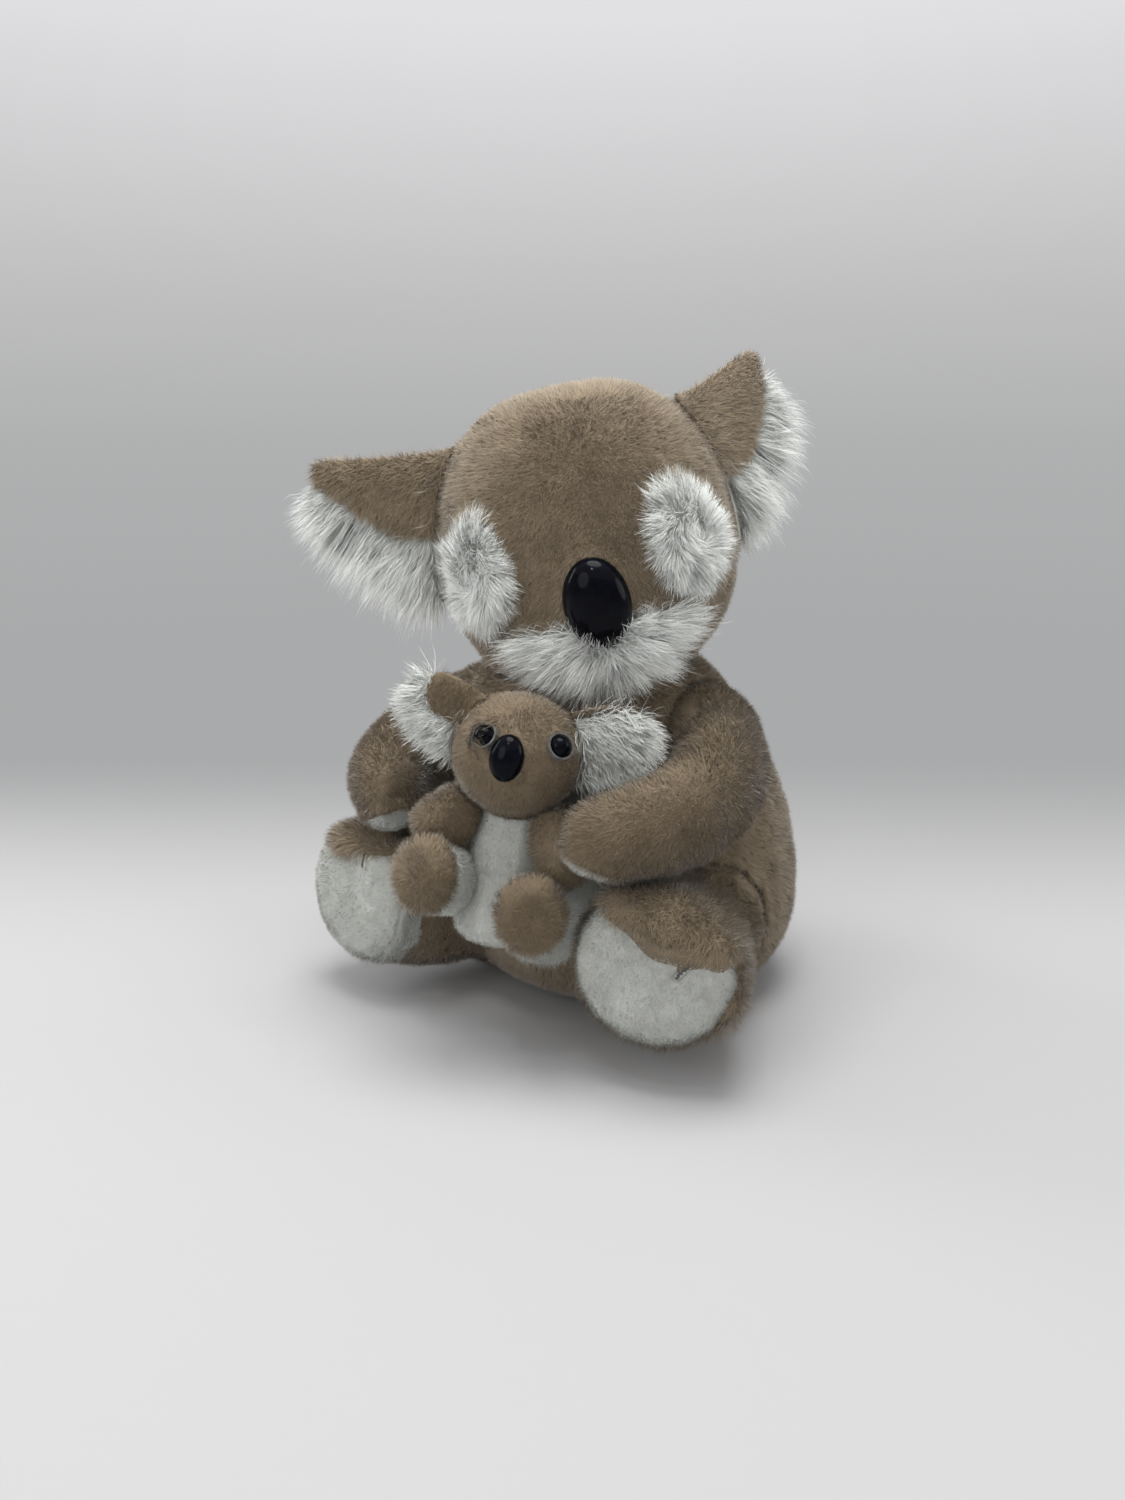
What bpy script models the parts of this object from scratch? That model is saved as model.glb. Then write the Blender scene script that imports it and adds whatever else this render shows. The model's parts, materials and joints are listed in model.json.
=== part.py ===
"""Plush koala that sits and hugs a baby koala.

Metres, +Z up. The toy faces -Y and its own left is +X. The origin is on the
ground under the seat of the body. Soft parts are stuffed forms lofted from a
few sections, and each smaller form is cut back from the larger one it is sewn to.
"""

import math

import bmesh
import bpy
from mathutils import Matrix, Vector
from mathutils.bvhtree import BVHTree

# Clearances and cuts
GAP = 0.0003
SOCKET_CLEARANCE = 0.0009
FLAT_CUT = 0.0005
WELD = 0.0002
OVERRUN = 0.02
WELD_TRY_SHARES = (1.0, 0.2, 0.0)
CAGE_FULLNESS_SHARE = 1.034
SWING_STEP_SHARES = (0.0, 1.0)
SIDES = ((1, "left"), (-1, "right"))
CAGE_POINTS = 10
LIMB_CAGE_POINTS = 8
EAR_CAGE_POINTS = 6
SMALL_CAGE_POINTS = 6
ROUND_STEPS = 16
SOCKET_STEPS = 16
PANEL_STEPS = 12
SMALL_ROUND_STEPS = 12
SHANK_STEPS = 8
NOSE_STEPS = 20
CREASE_ANGLE = math.radians(40)

# Body
BODY_WIDTH = 0.220
BODY_DEPTH = 0.204
BODY_HEIGHT = 0.214
BODY_BACK = 0.020
BELLY_WIDTH = 0.104
BELLY_HEIGHT = 0.150
BELLY_CENTRE_HEIGHT = 0.098
PANEL_DEPTH = 0.004

# Head, in its own turned and tilted frame
HEAD_CENTRE_Y = -0.020
HEAD_CENTRE_HEIGHT = 0.254
HEAD_WIDTH = 0.163
HEAD_DEPTH = 0.160
HEAD_HEIGHT = 0.159
HEAD_TURN = math.radians(34)
HEAD_TILT = math.radians(-11.5)
NECK_DISH_WIDTH = 0.173
NECK_DISH_HEIGHT = 0.178

# Nose and eyes
NOSE_WIDTH = 0.033
NOSE_HEIGHT = 0.0465
NOSE_DEPTH = 0.026
NOSE_DROP = 0.028
SHANK_RADIUS = 0.0032
SHANK_LENGTH = 0.018
WASHER_RADIUS = 0.0100
WASHER_THICKNESS = 0.0020
WASHER_SEAT_SHARE = 0.6
EYE_RADIUS = 0.0060
EYE_TURN_LEFT = math.radians(40)
EYE_TURN_RIGHT = math.radians(47)
EYE_DROP = 0.006
EYE_SHANK_RADIUS = 0.0020
EYE_SHANK_LENGTH = 0.012
EYE_WASHER_RADIUS = 0.0060
EYE_WASHER_THICKNESS = 0.0015
EYE_PATCH_ROLL = math.radians(10)
EYE_PATCH_WIDTH = 0.046
EYE_PATCH_HEIGHT = 0.060
EYE_PATCH_DEPTH = 0.026
MUZZLE_SPREAD = 0.047
MUZZLE_DROP = 0.052
MUZZLE_ENDS_DROP = 0.040
MUZZLE_THICKNESS = 0.024
MUZZLE_HEIGHT = 0.040
MUZZLE_STAND_SHARE = 0.35
NECK_TWIST = math.radians(15)

# Ears, in a frame whose Z is the root line and whose X points away from the head
EAR_REACH = 0.080
EAR_HEIGHT = 0.092
EAR_THICKNESS = 0.026
FOLD_EDGE_SHARE = -0.05
EAR_ROOT_SIDE = 0.066
EAR_ROOT_RISE = 0.018
EAR_LEAN_LEFT = math.radians(-15)
EAR_LEAN_RIGHT = math.radians(-9)
EAR_SWEEP_LEFT = math.radians(46)
EAR_SWEEP_RIGHT = math.radians(10)
EAR_FLEX = math.radians(12)
LINING_THICKNESS = 0.012
LINING_REACH = 0.084

# Arms, which swing out and up about an axis that leans in
SHOULDER_X = 0.070
SHOULDER_Y = -0.010
SHOULDER_Z = 0.152
SHOULDER_RADIUS = 0.030
SHOULDER_LEAN = math.radians(20)
ARM_THICKNESS = 0.056
ARM_OUT_LEFT = 0.034
ARM_OUT_RIGHT = 0.017
ARM_IN = 0.020
ARM_FORWARD = 0.104
ARM_DROP = 0.031
ARM_SWING = math.radians(30)
PALM_PAD_WIDTH = 0.044
PALM_PAD_LENGTH = 0.050
PALM_PAD_HEIGHT = 0.036
PALM_PAD_IN = 0.006
PALM_PAD_DROP = 0.022
PALM_PAD_DEPTH = 0.003

# Legs, which swing out level about upright axes
HIP_X = 0.062
HIP_Y = -0.020
HIP_RADIUS = 0.046
LEG_OUT = 0.036
LEG_FORWARD = 0.094
LEG_RISE = 0.015
LEG_WIDTH = 0.096
LEG_HEIGHT = 0.100
LEG_SWING = math.radians(20)
SOLE_WIDTH = 0.088
SOLE_HEIGHT = 0.092
SOLE_CENTRE_HEIGHT = 0.066
SOLE_TOP_LEFT = 0.018
SOLE_TOP_RIGHT = 0.022
SOLE_ROLL_LEFT = math.radians(15)
SOLE_ROLL_RIGHT = math.radians(0)

# Baby, in its own leaning frame
BABY_X = 0.009
BABY_Y = -0.103
BABY_Z = 0.098
BABY_TURN = math.radians(18)
BABY_TILT = math.radians(9)
BABY_BODY_WIDTH = 0.050
BABY_BODY_DEPTH = 0.040
BABY_BODY_HEIGHT = 0.078
BABY_SIDE_SEAM_FORWARD = 0.004
BABY_PANEL_DEPTH = 0.0025
BABY_HEAD_SIDE = -0.002
BABY_HEAD_FORWARD = 0.002
BABY_HEAD_RISE = 0.0565
BABY_HEAD_WIDTH = 0.066
BABY_HEAD_DEPTH = 0.063
BABY_HEAD_HEIGHT = 0.062
BABY_HEAD_TURN = math.radians(12)
BABY_NOSE_WIDTH = 0.0155
BABY_NOSE_HEIGHT = 0.0250
BABY_NOSE_DEPTH = 0.0130
BABY_NOSE_RISE = 0.0060
BABY_NOSE_TURN = math.radians(-4)
BABY_EYE_RADIUS = 0.0055
BABY_EYE_TURN_LEFT = math.radians(46)
BABY_EYE_TURN_RIGHT = math.radians(30)
BABY_EYE_RISE = 0.0130
BABY_RIM_RADIUS = 0.0068
BABY_RIM_THICKNESS = 0.0018
BABY_SHANK_RADIUS = 0.0016
BABY_SHANK_LENGTH = 0.010
BABY_WASHER_RADIUS = 0.0045
BABY_WASHER_THICKNESS = 0.0012
BABY_SHOULDER_SIDE = 0.015
BABY_SHOULDER_RISE = 0.028
BABY_ARM_OUT = 0.024
BABY_ARM_FORWARD = 0.018
BABY_ARM_DROP = 0.021
BABY_ARM_THICKNESS = 0.028
BABY_HIP_SIDE = 0.013
BABY_HIP_DROP = 0.017
BABY_LEG_OUT_LEFT = 0.017
BABY_LEG_OUT_RIGHT = 0.019
BABY_LEG_FORWARD = 0.044
BABY_LEG_RISE_LEFT = 0.008
BABY_LEG_RISE_RIGHT = 0.016
BABY_LEG_THICKNESS = 0.038
BABY_SOLE_LENGTH = 0.014
BABY_EAR_ROOT_SIDE_LEFT = 0.030
BABY_EAR_ROOT_SIDE_RIGHT = 0.025
BABY_EAR_ROOT_RISE = 0.011
BABY_EAR_LEAN_LEFT = math.radians(-16)
BABY_EAR_LEAN_RIGHT = math.radians(-24)
BABY_FOLD_LEFT_SHARE = 0.38
BABY_FOLD_RIGHT_SHARE = -0.08
BABY_EAR_REACH = 0.030
BABY_EAR_HEIGHT = 0.040
BABY_EAR_THICKNESS = 0.014
BABY_LINING_REACH = 0.038
BABY_LINING_THICKNESS = 0.006

# Colours and finish
FUR_ROUGHNESS = 0.9
GLOSS_ROUGHNESS = 0.08
BROWN = (0.26, 0.205, 0.155)
WHITE = (0.86, 0.87, 0.86)
BLACK = (0.012, 0.012, 0.016)
CLEAR_WHITE = (0.80, 0.80, 0.80)

# Sections of the stuffed forms, as shares of the sizes above
BODY_SECTION_SHARES = (
    # height, width, depth, back
    (0.000, 0.32, 0.32, 1.00),
    (0.000, 0.60, 0.60, 1.00),
    (0.050, 0.86, 0.86, 1.00),
    (0.200, 1.00, 0.99, 1.00),
    (0.480, 0.97, 0.96, 0.76),
    (0.720, 0.80, 0.80, 0.10),
    (1.000, 0.50, 0.50, -1.00),
)
HEAD_SECTION_SHARES = (
    # height, width, depth
    (-0.500, 0.42, 0.42),
    (-0.410, 0.76, 0.74),
    (-0.230, 0.99, 0.96),
    (0.000, 1.00, 1.00),
    (0.220, 0.93, 0.95),
    (0.400, 0.70, 0.74),
    (0.500, 0.38, 0.42),
)
ARM_PATH_SHARES = (
    # out, in, forward, drop, thickness
    (0.00, 0.00, 0.00, 0.00, 1.00),
    (0.60, 0.00, 0.20, 0.03, 1.02),
    (1.02, 0.02, 0.50, 0.50, 1.06),
    (0.80, 0.26, 0.83, 0.81, 0.97),
    (0.25, 0.70, 0.98, 0.97, 0.82),
    (0.00, 1.00, 1.00, 1.00, 0.50),
)
LEG_PATH_SHARES = (
    # out, forward, rise, width, height
    (0.00, 0.00, 0.00, 0.84, 0.86),
    (0.35, 0.35, 0.00, 0.95, 0.96),
    (0.72, 0.62, 0.50, 1.00, 0.94),
    (0.92, 0.84, 0.90, 0.97, 0.87),
    (1.00, 1.00, 1.00, 0.78, 0.67),
)
EAR_SECTION_SHARES = (
    # reach, centre height, height, thickness
    (-0.30, 0.14, 0.86, 1.00),
    (0.00, 0.07, 0.92, 1.00),
    (0.35, 0.14, 0.68, 0.95),
    (0.70, 0.25, 0.42, 0.80),
    (0.92, 0.34, 0.22, 0.60),
    (1.00, 0.36, 0.10, 0.40),
)
LINING_SECTION_SHARES = (
    # reach, centre height, height, thickness
    (-0.30, -0.05, 0.98, 1.00),
    (0.00, -0.08, 0.98, 1.00),
    (0.35, -0.04, 0.80, 1.00),
    (0.70, 0.05, 0.58, 1.00),
    (0.92, 0.13, 0.36, 0.80),
    (1.00, 0.16, 0.18, 0.50),
)
MUZZLE_SECTION_SHARES = (
    # side, thickness
    (-1.00, 0.30),
    (-0.70, 0.75),
    (-0.30, 1.00),
    (0.30, 1.00),
    (0.70, 0.75),
    (1.00, 0.30),
)
BABY_BODY_SECTION_SHARES = (
    # height, width, depth, forward
    (-0.50, 0.70, 0.80, 0.26),
    (-0.38, 1.04, 1.16, 0.24),
    (-0.10, 1.04, 1.12, 0.10),
    (0.20, 0.94, 0.90, 0.00),
    (0.50, 0.70, 0.66, 0.00),
)
BABY_LIMB_SECTION_SHARES = (
    # length, thickness
    (0.00, 0.78),
    (0.45, 1.00),
    (0.88, 1.06),
    (1.00, 0.76),
)
BABY_EAR_SECTION_SHARES = (
    # reach, centre height, height, thickness
    (-0.30, 0.04, 0.80, 1.00),
    (0.00, 0.05, 0.94, 1.00),
    (0.40, 0.08, 0.96, 0.95),
    (0.75, 0.12, 0.74, 0.80),
    (1.00, 0.15, 0.34, 0.50),
)
BABY_LINING_SECTION_SHARES = (
    # reach, centre height, height, thickness
    (-0.30, -0.10, 0.90, 1.00),
    (0.00, -0.12, 1.04, 1.00),
    (0.40, -0.10, 1.10, 1.00),
    (0.75, -0.06, 0.92, 1.00),
    (1.00, -0.02, 0.46, 0.60),
)


def empty_scene():
    for item in list(bpy.data.objects):
        bpy.data.objects.remove(item, do_unlink=True)


def new_collection(name):
    group = bpy.data.collections.new(name)
    bpy.context.scene.collection.children.link(group)
    return group


empty_scene()
PARTS = new_collection("plush_koala")
CUTTERS = new_collection("cutters")


def material(name, colour, roughness):
    finish = bpy.data.materials.new(name)
    finish.use_nodes = True
    shader = finish.node_tree.nodes["Principled BSDF"]
    shader.inputs["Base Color"].default_value = (*colour, 1.0)
    shader.inputs["Roughness"].default_value = roughness
    shader.inputs["Metallic"].default_value = 0.0
    return finish


def add_object(name, mesh, colour=None, roughness=FUR_ROUGHNESS):
    """Link a mesh as a part, or as a cutter when it has no colour."""
    item = bpy.data.objects.new(name, mesh)
    if colour is None:
        CUTTERS.objects.link(item)
        item.hide_render = True
        item.display_type = "WIRE"
        return item
    PARTS.objects.link(item)
    mesh.materials.append(material(name, colour, roughness))
    mesh.shade_smooth()
    mesh.set_sharp_from_angle(angle=CREASE_ANGLE)
    return item


def finish_mesh(bm, place, name):
    """Turn a bmesh into a mesh placed in the world, with its faces pointing out."""
    bmesh.ops.transform(bm, matrix=place, verts=bm.verts)
    bmesh.ops.recalc_face_normals(bm, faces=bm.faces)
    mesh = bpy.data.meshes.new(name)
    bm.to_mesh(mesh)
    bm.free()
    return mesh


def loft_mesh(name, sections, place, points):
    """A closed cage through sections, each a centre and its two half axes."""
    bm = bmesh.new()
    rings = []
    for centre, across, along in sections:
        ring = []
        for step in range(points):
            angle = math.tau * step / points
            side = across * math.cos(angle) + along * math.sin(angle)
            ring.append(bm.verts.new(centre + side * CAGE_FULLNESS_SHARE))
        rings.append(ring)
    for lower, upper in zip(rings, rings[1:]):
        for step in range(points):
            after = (step + 1) % points
            bm.faces.new((lower[step], lower[after], upper[after], upper[step]))
    bm.faces.new(rings[0])
    bm.faces.new(rings[-1])
    return finish_mesh(bm, place, name)


def soft_form(name, sections, colour, place=Matrix(), points=SMALL_CAGE_POINTS):
    """A stuffed form: a lofted cage, rounded by one subdivision."""
    item = add_object(name, loft_mesh(name, sections, place, points), colour)
    rounding = item.modifiers.new("rounding", "SUBSURF")
    rounding.levels = 1
    rounding.render_levels = 1
    return item


def ball(name, size, place=Matrix(), colour=None, steps=ROUND_STEPS, roughness=FUR_ROUGHNESS):
    """A ball or an egg with its full sizes along X, Y and Z."""
    bm = bmesh.new()
    bmesh.ops.create_uvsphere(bm, u_segments=steps, v_segments=steps // 2, radius=0.5)
    stretched = place @ Matrix.Diagonal((*size, 1.0))
    return add_object(name, finish_mesh(bm, stretched, name), colour, roughness)


def rod(name, radius, start, length, place=Matrix(), colour=None, steps=SHANK_STEPS):
    """A cylinder along Y, from start to start plus length."""
    bm = bmesh.new()
    bmesh.ops.create_cone(
        bm, cap_ends=True, segments=steps, radius1=radius, radius2=radius, depth=length
    )
    turned = Matrix.Rotation(math.radians(90), 4, "X")
    moved = Matrix.Translation((0.0, start + length / 2, 0.0))
    return add_object(name, finish_mesh(bm, place @ moved @ turned, name), colour)


def block(name, low, high, place=Matrix()):
    """A box cutter between two corners."""
    bm = bmesh.new()
    bmesh.ops.create_cube(bm, size=1.0)
    low = Vector(low)
    high = Vector(high)
    stretched = Matrix.Translation((low + high) / 2) @ Matrix.Diagonal((*(high - low), 1.0))
    return add_object(name, finish_mesh(bm, place @ stretched, name))


def keep_largest(bm):
    """Leave only the largest of the separate bodies in a bmesh."""
    waiting = set(bm.faces)
    bodies = []
    while waiting:
        reached = [waiting.pop()]
        body = set(reached)
        while reached:
            for edge in reached.pop().edges:
                near = [face for face in edge.link_faces if face in waiting]
                waiting.difference_update(near)
                body.update(near)
                reached.extend(near)
        bodies.append(body)
    largest = max(bodies, key=lambda body: sum(face.calc_area() for face in body))
    crumbs = [face for face in bm.faces if face not in largest]
    bmesh.ops.delete(bm, geom=crumbs, context="FACES")


def drop_folds(bm):
    """Remove pairs of faces that lie folded on each other."""
    first = {}
    folds = set()
    for face in bm.faces:
        corners = frozenset(face.verts)
        if corners in first:
            folds.update((face, first[corners]))
        first[corners] = face
    bmesh.ops.delete(bm, geom=list(folds), context="FACES")


def clean(mesh):
    """Weld points that nearly meet, without opening the mesh, and drop crumbs."""
    for share in WELD_TRY_SHARES:
        bm = bmesh.new()
        bm.from_mesh(mesh)
        bmesh.ops.triangulate(bm, faces=bm.faces)
        bmesh.ops.remove_doubles(bm, verts=bm.verts, dist=WELD * share)
        drop_folds(bm)
        keep_largest(bm)
        if all(edge.is_manifold for edge in bm.edges):
            break
        bm.free()
    bm.to_mesh(mesh)
    bm.free()


def shape_now(item):
    """The item's cleaned mesh as its modifiers leave it, in world places."""
    bpy.context.view_layer.update()
    graph = bpy.context.evaluated_depsgraph_get()
    mesh = bpy.data.meshes.new_from_object(item.evaluated_get(graph))
    mesh.transform(item.matrix_world)
    mesh.materials.clear()
    clean(mesh)
    return mesh


def settle(item):
    """Keep the item's shape as its modifiers leave it."""
    mesh = shape_now(item)
    mesh.transform(item.matrix_world.inverted())
    for finish in item.data.materials:
        mesh.materials.append(finish)
    mesh.shade_smooth()
    mesh.set_sharp_from_angle(angle=CREASE_ANGLE)
    item.modifiers.clear()
    item.data = mesh


def combine(item, other, operation):
    step = item.modifiers.new(other.name, "BOOLEAN")
    step.operation = operation
    step.solver = "MANIFOLD"
    step.object = other
    settle(item)


def cut(item, *others):
    for other in others:
        combine(item, other, "DIFFERENCE")


def join(item, other):
    combine(item, other, "UNION")


def keep_inside(item, other):
    combine(item, other, "INTERSECT")


def grown(item, amount, name, place=Matrix()):
    """A cutter with the item's shape, its faces moved out, or in, by amount."""
    mesh = shape_now(item)
    bm = bmesh.new()
    bm.from_mesh(mesh)
    bm.normal_update()
    moves = [vert.normal * amount for vert in bm.verts]
    for vert, move in zip(bm.verts, moves):
        vert.co += move
    bmesh.ops.transform(bm, matrix=place, verts=bm.verts)
    bm.to_mesh(mesh)
    bm.free()
    return add_object(name, mesh)


def turned_about(point, axis, angle):
    there = Matrix.Translation(point)
    return there @ Matrix.Rotation(angle, 4, axis) @ there.inverted()


def clear_the_turn(item, cutter, point, axis, angles):
    """Cut item with a cutter that stands still while item turns to each angle."""
    for step, angle in enumerate(angles):
        copy = add_object(f"{item.name}_{cutter.name}_{step}", cutter.data)
        copy.matrix_world = turned_about(point, axis, -angle) @ cutter.matrix_world
        cut(item, copy)


def mirrored(side):
    return Matrix.Diagonal((side, 1.0, 1.0, 1.0))


def surface_hit(item, start, direction):
    """Where a ray from inside the item comes out, and the outward normal there."""
    tree = BVHTree.FromObject(item, bpy.context.evaluated_depsgraph_get())
    place = item.matrix_world
    back = place.inverted()
    hit, normal, _, _ = tree.ray_cast(back @ start, back.to_3x3() @ direction)
    return place @ hit, (place.to_3x3() @ normal).normalized()


def facing(point, direction, upward):
    """A frame at a point whose -Y looks along direction and whose Z leans to upward."""
    back = -direction.normalized()
    side = back.cross(upward).normalized()
    turn = Matrix((side, back, side.cross(back))).transposed().to_4x4()
    return Matrix.Translation(point) @ turn


def limb_sections(points, sizes):
    """Sections square to a path, with their widths level and their heights upright."""
    sections = []
    for index, (point, (width, height)) in enumerate(zip(points, sizes)):
        before = points[max(index - 1, 0)]
        after = points[min(index + 1, len(points) - 1)]
        along = (after - before).normalized()
        level = along.cross(Vector((0.0, 0.0, 1.0))).normalized()
        upright = level.cross(along)
        sections.append((point, level * width / 2, upright * height / 2))
    return sections


# Body
def body_sections():
    sections = []
    for height, width, depth, back in BODY_SECTION_SHARES:
        centre = Vector((0.0, BODY_BACK * back, BODY_HEIGHT * height - FLAT_CUT))
        across = Vector((BODY_WIDTH * width / 2, 0.0, 0.0))
        along = Vector((0.0, BODY_DEPTH * depth / 2, 0.0))
        sections.append((centre, across, along))
    return sections


def inlay(host, outline, depth, name, colour):
    """Set a panel flush into the host within an outline, and cut the host back under it."""
    panel = add_object(name, shape_now(host), colour)
    keep_inside(panel, outline)
    cut(panel, grown(host, -depth, f"{name}_bed"))
    recess = grown(outline, GAP, f"{name}_recess")
    cut(recess, grown(host, -depth - GAP, f"{name}_recess_bed"))
    cut(host, recess)
    return panel


def pivot(name, point, items):
    """An empty on a joint, which carries the pieces that move with it."""
    holder = bpy.data.objects.new(name, None)
    holder.location = point
    PARTS.objects.link(holder)
    bpy.context.view_layer.update()
    for item in items:
        item.parent = holder
        item.matrix_parent_inverse = holder.matrix_world.inverted()


HEAD_CENTRE = Vector((0.0, HEAD_CENTRE_Y, HEAD_CENTRE_HEIGHT))
HEAD_FRAME = (
    Matrix.Translation(HEAD_CENTRE)
    @ Matrix.Rotation(HEAD_TURN, 4, "Z")
    @ Matrix.Rotation(HEAD_TILT, 4, "Y")
)
GROUND = block(
    "ground",
    (-BODY_WIDTH, -BODY_DEPTH, -OVERRUN),
    (BODY_WIDTH, BODY_DEPTH, 0.0),
)


def make_head():
    sections = []
    for height, width, depth in HEAD_SECTION_SHARES:
        centre = Vector((0.0, 0.0, HEAD_HEIGHT * height))
        across = Vector((HEAD_WIDTH * width / 2, 0.0, 0.0))
        along = Vector((0.0, HEAD_DEPTH * depth / 2, 0.0))
        sections.append((centre, across, along))
    return soft_form("head", sections, BROWN, HEAD_FRAME, CAGE_POINTS)


def make_body():
    """The body, its belly panel, the room that it takes up, and the dish for the head."""
    body = soft_form("body", body_sections(), BROWN, points=CAGE_POINTS)
    cut(body, GROUND)
    room = grown(body, SOCKET_CLEARANCE, "body_room")
    outline = ball(
        "belly_outline",
        (BELLY_WIDTH, BODY_DEPTH, BELLY_HEIGHT),
        Matrix.Translation((0.0, -BODY_DEPTH / 2, BELLY_CENTRE_HEIGHT)),
        steps=PANEL_STEPS,
    )
    panel = inlay(body, outline, PANEL_DEPTH, "belly_panel", WHITE)
    size = (NECK_DISH_WIDTH, NECK_DISH_WIDTH, NECK_DISH_HEIGHT)
    dish = ball("neck_dish", size, Matrix.Translation(HEAD_CENTRE))
    cut(body, dish)
    return body, panel, room, dish


# Limbs
def make_arm(side, name, body, room, dish):
    shoulder = Vector((side * SHOULDER_X, SHOULDER_Y, SHOULDER_Z))
    axis = Vector((-side * math.sin(SHOULDER_LEAN), 0.0, math.cos(SHOULDER_LEAN)))
    reach_out = ARM_OUT_LEFT if side > 0 else ARM_OUT_RIGHT
    points = []
    sizes = []
    for out, inward, forward, drop, thickness in ARM_PATH_SHARES:
        sideways = side * (reach_out * out - ARM_IN * inward)
        points.append(shoulder + Vector((sideways, -ARM_FORWARD * forward, -ARM_DROP * drop)))
        sizes.append((ARM_THICKNESS * thickness, ARM_THICKNESS * thickness))
    arm = soft_form(f"arm_{name}", limb_sections(points, sizes), BROWN, points=LIMB_CAGE_POINTS)
    swing = [side * ARM_SWING * share for share in SWING_STEP_SHARES]
    clear_the_turn(arm, room, shoulder, axis, swing)
    clear_the_turn(arm, dish, shoulder, axis, swing)
    place = Matrix.Translation(shoulder) @ Matrix.Rotation(-side * SHOULDER_LEAN, 4, "Y")
    root = 2 * SHOULDER_RADIUS
    join(arm, ball(f"arm_{name}_ball", (root, root, root), place, steps=SOCKET_STEPS))
    hollow = root + 2 * SOCKET_CLEARANCE
    cut(body, ball(f"arm_{name}_socket", (hollow, hollow, hollow), place, steps=SOCKET_STEPS))
    palm = points[-2] + Vector((-side * PALM_PAD_IN, 0.0, -PALM_PAD_DROP))
    size = (PALM_PAD_WIDTH, PALM_PAD_LENGTH, PALM_PAD_HEIGHT)
    outline = ball(f"palm_{name}_outline", size, Matrix.Translation(palm), steps=PANEL_STEPS)
    pad = inlay(arm, outline, PALM_PAD_DEPTH, f"palm_pad_{name}", WHITE)
    pivot(f"shoulder_{name}_pivot", shoulder, (arm, pad))
    return arm, pad


def make_leg(side, name, body, panel, room):
    hip = Vector((side * HIP_X, HIP_Y, LEG_HEIGHT / 2 - FLAT_CUT))
    axis = Vector((0.0, 0.0, 1.0))
    points = []
    sizes = []
    for out, forward, rise, width, height in LEG_PATH_SHARES:
        step = Vector((side * LEG_OUT * out, -LEG_FORWARD * forward, LEG_RISE * rise))
        points.append(hip + step)
        sizes.append((LEG_WIDTH * width, LEG_HEIGHT * height))
    leg = soft_form(f"leg_{name}", limb_sections(points, sizes), BROWN, points=LIMB_CAGE_POINTS)
    swing = [side * LEG_SWING * share for share in SWING_STEP_SHARES]
    clear_the_turn(leg, room, hip, axis, swing)
    place = Matrix.Translation(hip)
    root = 2 * HIP_RADIUS
    barrel = (root, root, LEG_HEIGHT)
    join(leg, ball(f"leg_{name}_barrel", barrel, place, steps=SOCKET_STEPS))
    cut(leg, GROUND)
    hollow = tuple(size + 2 * SOCKET_CLEARANCE for size in barrel)
    socket = ball(f"leg_{name}_socket", hollow, place, steps=SOCKET_STEPS)
    cut(body, socket)
    cut(panel, socket)
    sole = Vector((side * (HIP_X + LEG_OUT), HIP_Y - LEG_FORWARD, SOLE_CENTRE_HEIGHT))
    roll = SOLE_ROLL_LEFT if side > 0 else SOLE_ROLL_RIGHT
    top = SOLE_TOP_LEFT if side > 0 else SOLE_TOP_RIGHT
    frame = Matrix.Translation(sole) @ Matrix.Rotation(side * roll, 4, "Y")
    size = (SOLE_WIDTH, LEG_FORWARD, SOLE_HEIGHT)
    outline = ball(f"sole_{name}_outline", size, frame, steps=PANEL_STEPS)
    corner = (SOLE_WIDTH, LEG_FORWARD, SOLE_HEIGHT)
    cut(outline, block(f"sole_{name}_top", (-SOLE_WIDTH, -LEG_FORWARD, top), corner, frame))
    pad = inlay(leg, outline, PANEL_DEPTH, f"sole_pad_{name}", WHITE)
    pivot(f"hip_{name}_pivot", hip, (leg, pad))
    return leg, pad


# Plastic nose and eyes
def button_set(name, host, frame, size, shank, washer, steps=SMALL_ROUND_STEPS):
    """A plastic nose or eye on a shank, and its lock washer inside the host."""
    shank_radius, shank_length = shank
    washer_radius, washer_thickness = washer
    button = ball(name, size, frame, BLACK, steps, GLOSS_ROUGHNESS)
    cut(button, grown(host, GAP, f"{name}_back"))
    depth = size[1] / 4
    stem = rod(f"{name}_stem", shank_radius, -depth, shank_length + depth, frame)
    join(button, stem)
    seat = shank_length * WASHER_SEAT_SHARE
    ring = rod(f"{name}_washer", washer_radius, seat, washer_thickness, frame, CLEAR_WHITE)
    hole = rod(f"{name}_hole", shank_radius + GAP, -depth, shank_length + depth + GAP, frame)
    cut(ring, hole)
    pocket = rod(
        f"{name}_pocket",
        washer_radius + GAP,
        seat - GAP,
        washer_thickness + 2 * GAP,
        frame,
    )
    cut(host, hole, pocket)
    return button, ring


def make_eye_patch(side, name, head, frame):
    size = (EYE_PATCH_WIDTH, EYE_PATCH_DEPTH, EYE_PATCH_HEIGHT)
    rolled = frame @ Matrix.Rotation(-side * EYE_PATCH_ROLL, 4, "Y")
    patch = ball(f"eye_patch_{name}", size, rolled, WHITE, PANEL_STEPS)
    well = rod(
        f"eye_{name}_well",
        EYE_RADIUS + GAP,
        -EYE_PATCH_DEPTH,
        2 * EYE_PATCH_DEPTH,
        frame,
        steps=SMALL_ROUND_STEPS,
    )
    cut(patch, grown(head, GAP, f"eye_patch_{name}_back"), well)
    return patch


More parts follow.
